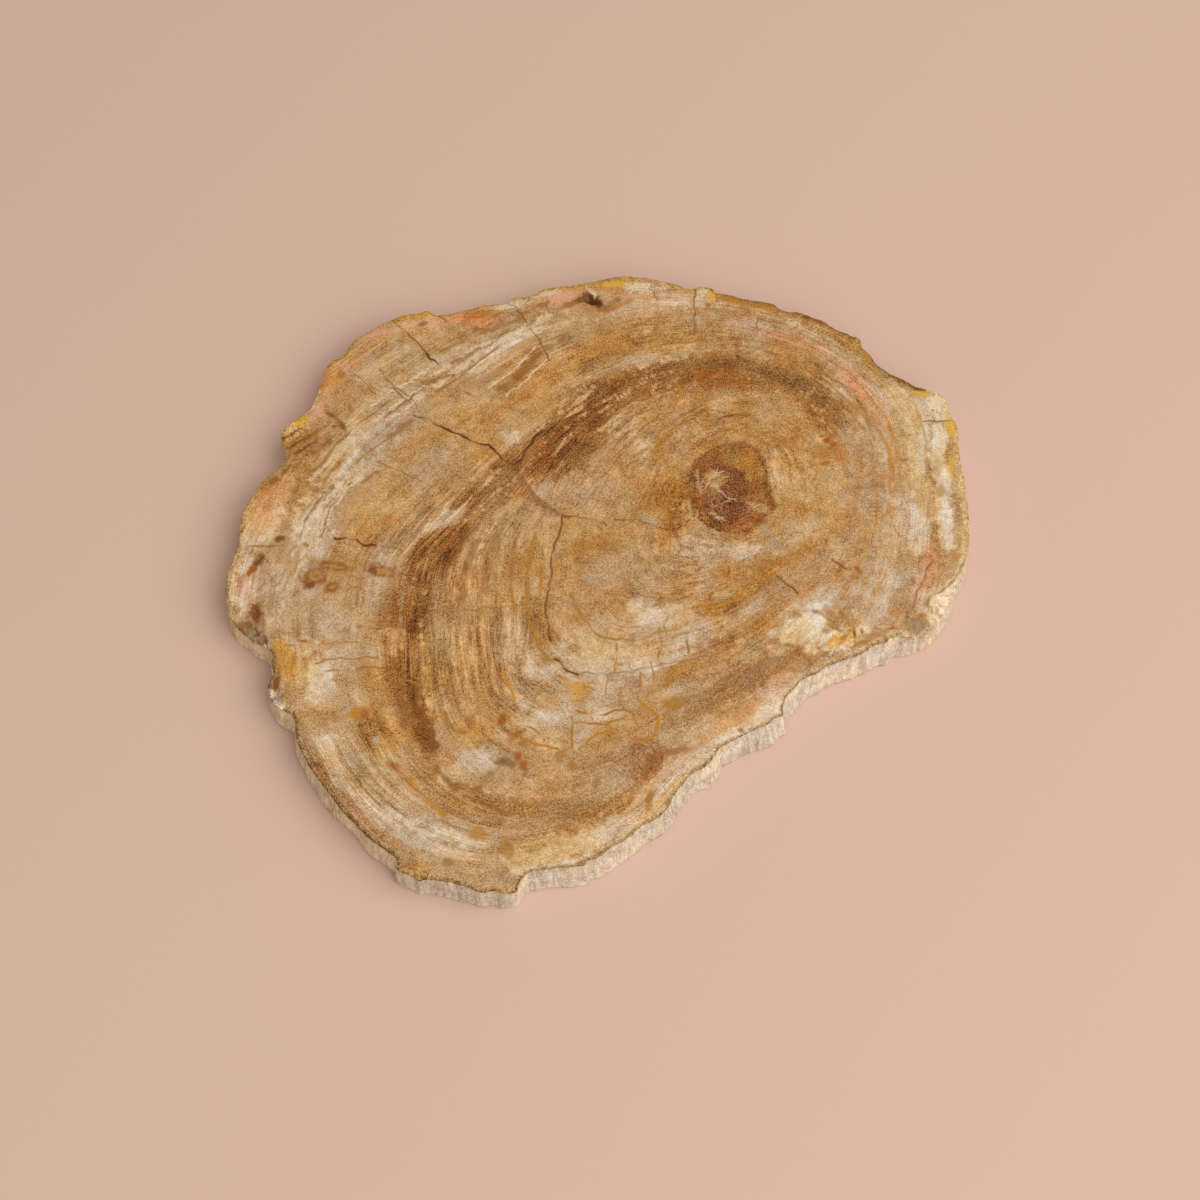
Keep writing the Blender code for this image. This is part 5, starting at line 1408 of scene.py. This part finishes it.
@dataclass
class BoardPiece:
    """The petrified wood board: one stone, built fine enough for its cracks and fibres."""

    shape: SlabShape = field(default_factory=SlabShape)
    top_scale: float = 0.76
    foot_scale: float = 0.205
    foot_corner: tuple = (0.785, 0.01)
    margin: float = 0.01
    strips: int = 4
    strip_start: float = 0.735
    strip_pitch: float = 0.065
    strip_height: float = 0.055
    sharp_angle: float = math.radians(42)
    dull_rim: float = 1.2
    dull_chip: float = 0.95
    dull_fade: float = 0.3

    def build(self) -> bpy.types.Object:
        """Builds the stone at the size and place of its CAD node.

        Returns:
            The new object, with its colours, grain and UV map, and no material yet.
        """
        shape = self.shape
        columns = Rim.COLUMNS
        inner = shape.face_points()
        top = np.concatenate([shape.outline, inner])
        heights = shape.thickness - shape.face_drop(top)
        loops = shape.wall_loops(heights[:columns])
        foot = loops[-1][:, :2]
        foot_inner = shape.hexagonal(foot, shape.foot_step, shape.foot_margin)
        places = np.concatenate([
            np.column_stack([top, heights]),
            *loops,
            np.column_stack([foot_inner, np.zeros(len(foot_inner))])])
        top_faces = shape.fill(shape.outline, inner)
        first_loop = len(top)
        last_loop = first_loop + columns * (shape.wall_rows - 1)
        foot_faces = shape.fill(foot, foot_inner) + last_loop
        starts = np.array([0, *(first_loop + columns * row for row in range(shape.wall_rows))])
        around = np.arange(columns)
        beside = (around + 1) % columns
        wall_faces = np.concatenate([
            np.stack([above + around, below + around, below + beside, above + beside], 1)
            for above, below in zip(starts, starts[1:])])
        LOG.info("stone: %d points, %d top, %d wall, %d foot faces",
                 len(places), len(top_faces), len(wall_faces), len(foot_faces))

        mesh = bpy.data.meshes.new(NODE)
        faces = [*top_faces.tolist(), *wall_faces.tolist(), *foot_faces[:, ::-1].tolist()]
        mesh.from_pydata(self.fitted(places).tolist(), [], faces)
        self.add_uv(mesh, places, len(top_faces), len(wall_faces))
        self.add_attributes(mesh, top, loops, foot_inner)
        mesh.shade_smooth()
        mesh.set_sharp_from_angle(angle=self.sharp_angle)
        piece = bpy.data.objects.new("petrified_wood_stone", mesh)
        bpy.context.scene.collection.objects.link(piece)
        return piece

    @staticmethod
    def fitted(places: Array) -> Array:
        """Brings drawn millimetres to the CAD node's box, in metres."""
        low, high = (np.array(corner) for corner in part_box(NODE))
        lowest, highest = places.min(0), places.max(0)
        across = (high[0] - low[0]) / (highest[0] - lowest[0])
        scale = np.array([across, across, (high[2] - low[2]) / (highest[2] - lowest[2])])
        return (places - (lowest + highest) / 2) * scale + (low + high) / 2

    def add_uv(self, mesh: bpy.types.Mesh, places: Array, tops: int, walls: int) -> None:
        """Lays the face, the edge and the underside side by side on one UV map.

        Args:
            mesh: the mesh, its faces in the order top, wall, underside.
            places: its places in drawn millimetres.
            tops: how many faces the top has.
            walls: how many faces the edge has.
        """
        low = places.min(0)[:2]
        width = np.ptp(places[:, 0])
        flat = (places[:, :2] - low) / width
        corners = np.empty(len(mesh.loops), int)
        mesh.loops.foreach_get("vertex_index", corners)
        uv = self.margin + flat[corners] * self.top_scale
        wall_start = 3 * tops
        foot_start = wall_start + 4 * walls
        uv[foot_start:] = np.array(self.foot_corner) + flat[corners[foot_start:]] * self.foot_scale
        columns = Rim.COLUMNS
        per_strip = columns // self.strips
        quad = np.arange(walls)
        column, row = quad % columns, quad // columns
        strip = column // per_strip
        across = (column % per_strip)[:, None] + np.array([0, 0, 1, 1])
        down = row[:, None] + np.array([0, 1, 1, 0])
        wall_u = self.margin + across / per_strip * (1 - 2 * self.margin)
        wall_v = self.strip_start + strip[:, None] * self.strip_pitch
        wall_v = wall_v + self.strip_height * (1 - down / self.shape.wall_rows)
        uv[wall_start:foot_start] = np.stack([wall_u, wall_v], -1).reshape(-1, 2)
        layer = mesh.uv_layers.new(name="OFBake")
        layer.data.foreach_set("uv", uv.ravel())

    @staticmethod
    def linear(colours: Array) -> Array:
        """Turns sRGB shares into the renderer's linear light."""
        bright = ((colours.clip(0) + 0.055) / 1.055) ** 2.4
        return np.where(colours <= 0.04045, colours / 12.92, bright).clip(0, 1)

    def add_attributes(self, mesh: bpy.types.Mesh, top: Array, loops: list, foot: Array) -> None:
        """Stores each point's colour, its place in the grain and how polished it is.

        Args:
            mesh: the mesh, its points in the order top, wall loops, underside.
            top: the top's points.
            loops: the wall's loops.
            foot: the underside's inner points.
        """
        shape = self.shape
        painter = shape.painter
        walls = np.concatenate(loops)
        flat = np.concatenate([top, walls[:, :2], foot])
        wall = painter.wall(loops, shape.thickness)
        rgba = np.concatenate([
            painter.face(top),
            np.column_stack([wall, np.ones(len(wall))]),
            painter.face(foot, worn=False)])
        rgba[:, :3] = self.linear(rgba[:, :3])
        rest = len(walls) + len(foot)
        tint, mask = painter.marks(top)
        tint[:, :3] = self.linear(tint[:, :3])
        tint = np.concatenate([tint, np.zeros((rest, 4))])
        mask = np.concatenate([mask, np.zeros(rest)])
        gap = np.minimum(shape.rim.measure(top)[0] / self.dull_rim, 1)
        polish = np.concatenate([gap, np.zeros(rest)])
        chips = np.min([ellipse_reach(chip, top) for chip in CHIPS], axis=0)
        polish[:len(top)] *= smoothstep((chips - self.dull_chip) / self.dull_fade)
        grain = painter.rings.coordinates(flat)
        for name, kind, part, values in (
                ("stone_colour", "FLOAT_COLOR", "color", rgba),
                ("mark_tint", "FLOAT_COLOR", "color", tint),
                ("mark", "FLOAT", "value", mask),
                ("grain", "FLOAT_VECTOR", "vector", grain),
                ("polish", "FLOAT", "value", polish)):
            mesh.attributes.new(name, kind, "POINT").data.foreach_set(part, values.ravel())


# The finish
class Socket:
    """A node's output with Python's operators, each of which adds a Math node."""

    def __init__(self, canvas: "NodeCanvas", output: bpy.types.NodeSocket) -> None:
        """Wraps an output.

        Args:
            canvas: the tree that the output is in.
            output: the output itself.
        """
        self.canvas = canvas
        self.output = output

    def combine(self, operation: str, left: "Socket | float", right: "Socket | float") -> "Socket":
        """Adds a Math node on two values."""
        return self.canvas.node("ShaderNodeMath", {"operation": operation}, {0: left, 1: right})

    def __add__(self, other: "Socket | float") -> "Socket":
        """Adds a value."""
        return self.combine("ADD", self, other)

    def __sub__(self, other: "Socket | float") -> "Socket":
        """Takes a value away."""
        return self.combine("SUBTRACT", self, other)

    def __rsub__(self, other: float) -> "Socket":
        """Takes this away from a number."""
        return self.combine("SUBTRACT", other, self)

    def __mul__(self, other: "Socket | float") -> "Socket":
        """Multiplies by a value."""
        return self.combine("MULTIPLY", self, other)


class NodeCanvas:
    """A material's node tree, which every node of it is added through."""

    def __init__(self, material: bpy.types.Material) -> None:
        """Turns the material's nodes on and finds its shader.

        Args:
            material: the material to fill.
        """
        material.use_nodes = True
        self.tree = material.node_tree
        self.shader = self.tree.nodes["Principled BSDF"]

    def node(self, kind: str, settings: dict | None = None, sockets: dict | None = None,
             output: int | str = 0) -> Socket:
        """Adds a node.

        Args:
            kind: the node's type.
            settings: its properties, and "stops" for a ramp's positions and greys.
            sockets: values or links by the name or number of the input.
            output: the name or number of the output to return.

        Returns:
            The output, wrapped.
        """
        made = self.tree.nodes.new(kind)
        for name, value in (settings or {}).items():
            if name == "stops":
                self.set_stops(made.color_ramp, value)
            else:
                setattr(made, name, value)
        for key, value in (sockets or {}).items():
            self.feed(made.inputs[key], value)
        return Socket(self, made.outputs[output])

    def feed(self, target: bpy.types.NodeSocket, value: "Socket | float | tuple") -> None:
        """Links or sets an input."""
        if isinstance(value, Socket):
            self.tree.links.new(value.output, target)
        else:
            target.default_value = value

    @staticmethod
    def set_stops(ramp: bpy.types.ColorRamp, stops: tuple) -> None:
        """Sets a ramp's stops to greys."""
        while len(ramp.elements) < len(stops):
            ramp.elements.new(1.0)
        for element, (position, grey) in zip(ramp.elements, stops):
            element.position = position
            element.color = (grey, grey, grey, 1)

    def stretched(self, vector: Socket, scale: tuple) -> Socket:
        """A vector with each of its parts multiplied."""
        return self.node("ShaderNodeVectorMath", {"operation": "MULTIPLY"}, {0: vector, 1: scale})

    def attribute(self, name: str, output: str) -> Socket:
        """Reads an attribute of the mesh."""
        return self.node("ShaderNodeAttribute", {"attribute_name": name}, output=output)

    def painted(self, name: str) -> tuple[Socket, Socket]:
        """Reads a colour attribute of the mesh and its alpha."""
        colour = self.attribute(name, "Color")
        return colour, Socket(self, colour.output.node.outputs["Alpha"])

    def noise(self, vector: Socket, scale: tuple, detail: float, roughness: float) -> Socket:
        """Noise from 0 to 1 along a vector."""
        return self.node(
            "ShaderNodeTexNoise", {"noise_dimensions": "3D"},
            {"Vector": self.stretched(vector, scale), "Scale": 1.0, "Detail": detail,
             "Roughness": roughness})

    def ramp(self, value: Socket, *stops: tuple) -> Socket:
        """A value run through a ramp of greys."""
        return self.node("ShaderNodeValToRGB", {"stops": stops}, {"Fac": value})

    def shaded(self, colour: Socket, amount: Socket, weights: tuple) -> Socket:
        """A colour made paler where an amount is above 0 and deeper where it is below.

        Args:
            colour: the colour.
            amount: how much to shade it.
            weights: how strongly the amount acts on red, green and blue.

        Returns:
            The shaded colour.
        """
        gain = self.node(
            "ShaderNodeVectorMath", {"operation": "MULTIPLY_ADD"}, {0: amount, 1: weights, 2: (1, 1, 1)})
        gain = self.node("ShaderNodeVectorMath", {"operation": "MAXIMUM"}, {0: gain, 1: (0.1,) * 3})
        return self.node("ShaderNodeVectorMath", {"operation": "MULTIPLY"}, {0: colour, 1: gain})

    def mixed(self, share: Socket, first: Socket, second: Socket) -> Socket:
        """Two colours mixed by a share from 0 to 1."""
        return self.node(
            "ShaderNodeMix", {"data_type": "RGBA"}, {"Factor": share, 6: first, 7: second}, 2)


@dataclass(frozen=True)
class StoneFinish:
    """Silicified wood: polished to a satin on the face, raw on the edge and the underside."""

    # Noise: its scale, and how strongly it shades the stone
    fibre_scale: tuple = (0.8, 0.8, 0.95)
    fibre_gain: float = 2.2
    hair_scale: tuple = (1.8, 1.8, 2.2)
    hair_gain: float = 2.1
    speck_scale: float = 760.0
    speck_gain: float = 2.1
    pore_scale: float = 1700.0
    pore_gain: float = 3.5
    wall_fibre: tuple = (480.0, 480.0, 40.0)
    wall_gain: float = 3.0

    # How strongly each kind of shade acts on red, green and blue
    shade: tuple = (0.62, 0.80, 1.05)
    stain_shade: tuple = (0.45, 0.80, 1.15)
    mark_shade: tuple = (0.3, 0.3, 0.3)

    # Paler stone is shaded less
    brightness: tuple = (0.3, 0.6, 0.1)
    middle_light: float = 0.33
    darkest: float = 0.03

    # The hair-thin stains: their scale and width, over the slab and along the rings
    slab_veinlets: tuple = (((36.0, 36.0, 36.0), 0.018),)
    ring_veinlets: tuple = (((0.10, 0.10, 0.16), 0.022), ((0.16, 0.16, 0.42), 0.026))
    veinlet_patch: tuple = (20.0, 20.0, 20.0)
    veinlet_where: tuple = ((0.46, 0.0), (0.60, 1.0))
    veinlet_depth: float = 0.34

    # The edge of the spots and lines, which specks and pores break up
    mark_edge: tuple = ((0.10, 0.0), (0.42, 0.35), (0.56, 1.0))
    mark_speck: float = 0.8
    mark_pore: float = 0.9

    specular: float = 0.3
    polished: float = 0.36
    raw: float = 0.82
    sheen_speck: float = 0.18
    face_relief: float = 0.5
    wall_relief: float = 3.0
    wall_speck: float = 0.6
    bump_strength: float = 0.55
    bump_distance: float = 0.00025

    def veinlets(self, canvas: NodeCanvas, place: Socket, grain: Socket) -> Socket:
        """Makes the hair-thin stains that wander over the face in patches.

        Args:
            canvas: the material's nodes.
            place: the place on the slab, in metres.
            grain: the place in the growth rings.

        Returns:
            How strongly a stain covers each place, from 0 up.
        """
        total = 0.0
        layers = [(place, *layer) for layer in self.slab_veinlets]
        layers += [(grain, *layer) for layer in self.ring_veinlets]
        for vector, scale, width in layers:
            wander = canvas.noise(vector, scale, 3.0, 0.55)
            off = canvas.node("ShaderNodeMath", {"operation": "ABSOLUTE"}, {0: wander - 0.5})
            patch = canvas.noise(place, self.veinlet_patch, 2.0, 0.5)
            thin = canvas.ramp(off, (0.0, 1.0), (width, 0.0))
            total = thin * canvas.ramp(patch, *self.veinlet_where) + total
        return total * self.veinlet_depth

    def material(self) -> bpy.types.Material:
        """Makes the material.

        Returns:
            The finished material.
        """
        material = bpy.data.materials.new(SLOT)
        canvas = NodeCanvas(material)
        place = canvas.node("ShaderNodeTexCoord", output="Object")
        paint, shown = canvas.painted("stone_colour")
        tint, strength = canvas.painted("mark_tint")
        mark = canvas.attribute("mark", "Fac")
        grain = canvas.attribute("grain", "Vector")
        polish = canvas.attribute("polish", "Fac")

        fibre = canvas.noise(grain, self.fibre_scale, 3.0, 0.6)
        hair = canvas.noise(grain, self.hair_scale, 2.0, 0.6)
        speck = canvas.noise(place, (self.speck_scale,) * 3, 2.0, 0.6)
        pore = canvas.noise(place, (self.pore_scale,) * 3, 1.0, 0.5)
        wall = canvas.noise(place, self.wall_fibre, 3.0, 0.6)

        along = (fibre - 0.5) * self.fibre_gain + (hair - 0.5) * self.hair_gain
        across = (wall - 0.5) * self.wall_gain
        shade = (speck - 0.5) * self.speck_gain + (pore - 0.5) * self.pore_gain
        shade = shade + along * shown * polish + across * (1 - polish)
        light = canvas.node(
            "ShaderNodeVectorMath", {"operation": "DOT_PRODUCT"}, {0: paint, 1: self.brightness},
            output="Value")
        shade = shade * canvas.node(
            "ShaderNodeMath", {"operation": "DIVIDE"},
            {0: self.middle_light, 1: light + self.darkest})
        colour = canvas.shaded(paint, shade, self.shade)
        stain = self.veinlets(canvas, place, grain) * polish
        colour = canvas.shaded(colour, 0 - stain, self.stain_shade)
        ragged = mark + (speck - 0.5) * self.mark_speck + (pore - 0.5) * self.mark_pore
        inked = canvas.shaded(tint, shade, self.mark_shade)
        colour = canvas.mixed(canvas.ramp(ragged, *self.mark_edge) * strength, colour, inked)

        sheen = self.raw - polish * (self.raw - self.polished) + (speck - 0.5) * self.sheen_speck
        face = speck * self.face_relief * polish
        edge = (wall + speck * self.wall_speck) * (1 - polish) * self.wall_relief
        bump = canvas.node("ShaderNodeBump", {}, {
            "Strength": self.bump_strength, "Distance": self.bump_distance, "Height": face + edge})
        for name, value in (
                ("Base Color", colour), ("Specular IOR Level", self.specular),
                ("Roughness", sheen), ("Normal", bump)):
            canvas.feed(canvas.shader.inputs[name], value)
        return material


# The studio
@dataclass(frozen=True)
class Lamp:
    """A soft square light, in metres and watts."""

    name: str
    place: tuple
    size: float
    power: float
    colour: tuple


@dataclass(frozen=True)
class Studio:
    """The floor, the lights and the camera at the photograph's viewing angle."""

    elevation: float = math.radians(62)
    distance: float = 1.322
    target: tuple = (0.0006, -0.0219, 0.020)
    lens: float = 75.0
    sensor: float = 36.0
    floor_size: float = 8.0
    floor_drop: float = 0.0002
    floor_colour: tuple = (0.66, 0.455, 0.365, 1)
    floor_roughness: float = 0.9
    world_colour: tuple = (1.0, 0.96, 0.92, 1)
    world_strength: float = 0.42
    lamps: tuple = (
        Lamp("key", (2.0, -0.9, 2.9), 4.0, 110.0, (1.0, 0.97, 0.94)),
        Lamp("fill", (1.0, -2.0, 1.7), 2.0, 16.0, (0.94, 0.97, 1.0)),
    )

    def build(self) -> None:
        """Adds the floor, the lights, the world and the camera."""
        scene = bpy.context.scene
        scene.view_settings.view_transform = "Standard"
        self.floor()
        for lamp in self.lamps:
            data = bpy.data.lights.new(lamp.name, "AREA")
            data.size = lamp.size
            data.energy = lamp.power
            data.color = lamp.colour
            self.aimed(lamp.name, data, Vector(lamp.place), Vector((0, 0, 0)))
        world = bpy.data.worlds.new("studio")
        world.use_nodes = True
        background = world.node_tree.nodes["Background"]
        background.inputs["Color"].default_value = self.world_colour
        background.inputs["Strength"].default_value = self.world_strength
        scene.world = world
        data = bpy.data.cameras.new("camera")
        data.lens = self.lens
        data.sensor_width = self.sensor
        target = Vector(self.target)
        out = Vector((0, -math.cos(self.elevation), math.sin(self.elevation)))
        scene.camera = self.aimed("camera", data, target + out * self.distance, target)

    def floor(self) -> bpy.types.Object:
        """The plain pale floor."""
        half = self.floor_size / 2
        mesh = bpy.data.meshes.new("floor")
        corners = [(-half, -half), (half, -half), (half, half), (-half, half)]
        mesh.from_pydata([(x, y, -self.floor_drop) for x, y in corners], [], [(0, 1, 2, 3)])
        material = bpy.data.materials.new("floor")
        material.use_nodes = True
        shader = material.node_tree.nodes["Principled BSDF"]
        shader.inputs["Base Color"].default_value = self.floor_colour
        shader.inputs["Roughness"].default_value = self.floor_roughness
        mesh.materials.append(material)
        floor = bpy.data.objects.new("floor", mesh)
        bpy.context.scene.collection.objects.link(floor)
        return floor

    @staticmethod
    def aimed(name: str, data: bpy.types.ID, place: Vector, target: Vector) -> bpy.types.Object:
        """Adds a light or camera that looks at a point."""
        made = bpy.data.objects.new(name, data)
        turn = (target - place).to_track_quat("-Z", "Y").to_matrix().to_4x4()
        made.matrix_world = Matrix.Translation(place) @ turn
        bpy.context.scene.collection.objects.link(made)
        return made


def main() -> None:
    """Builds the stone and the studio, and logs the stone's points and faces."""
    logging.basicConfig(level=logging.INFO, format="%(message)s")
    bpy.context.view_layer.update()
    piece = BoardPiece().build()
    piece.data.materials.append(StoneFinish().material())
    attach(piece, "root")
    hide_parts(NODE)
    LOG.info("%s: %d faces", piece.name, len(piece.data.polygons))
    Studio().build()


if __name__ == "__main__":
    main()
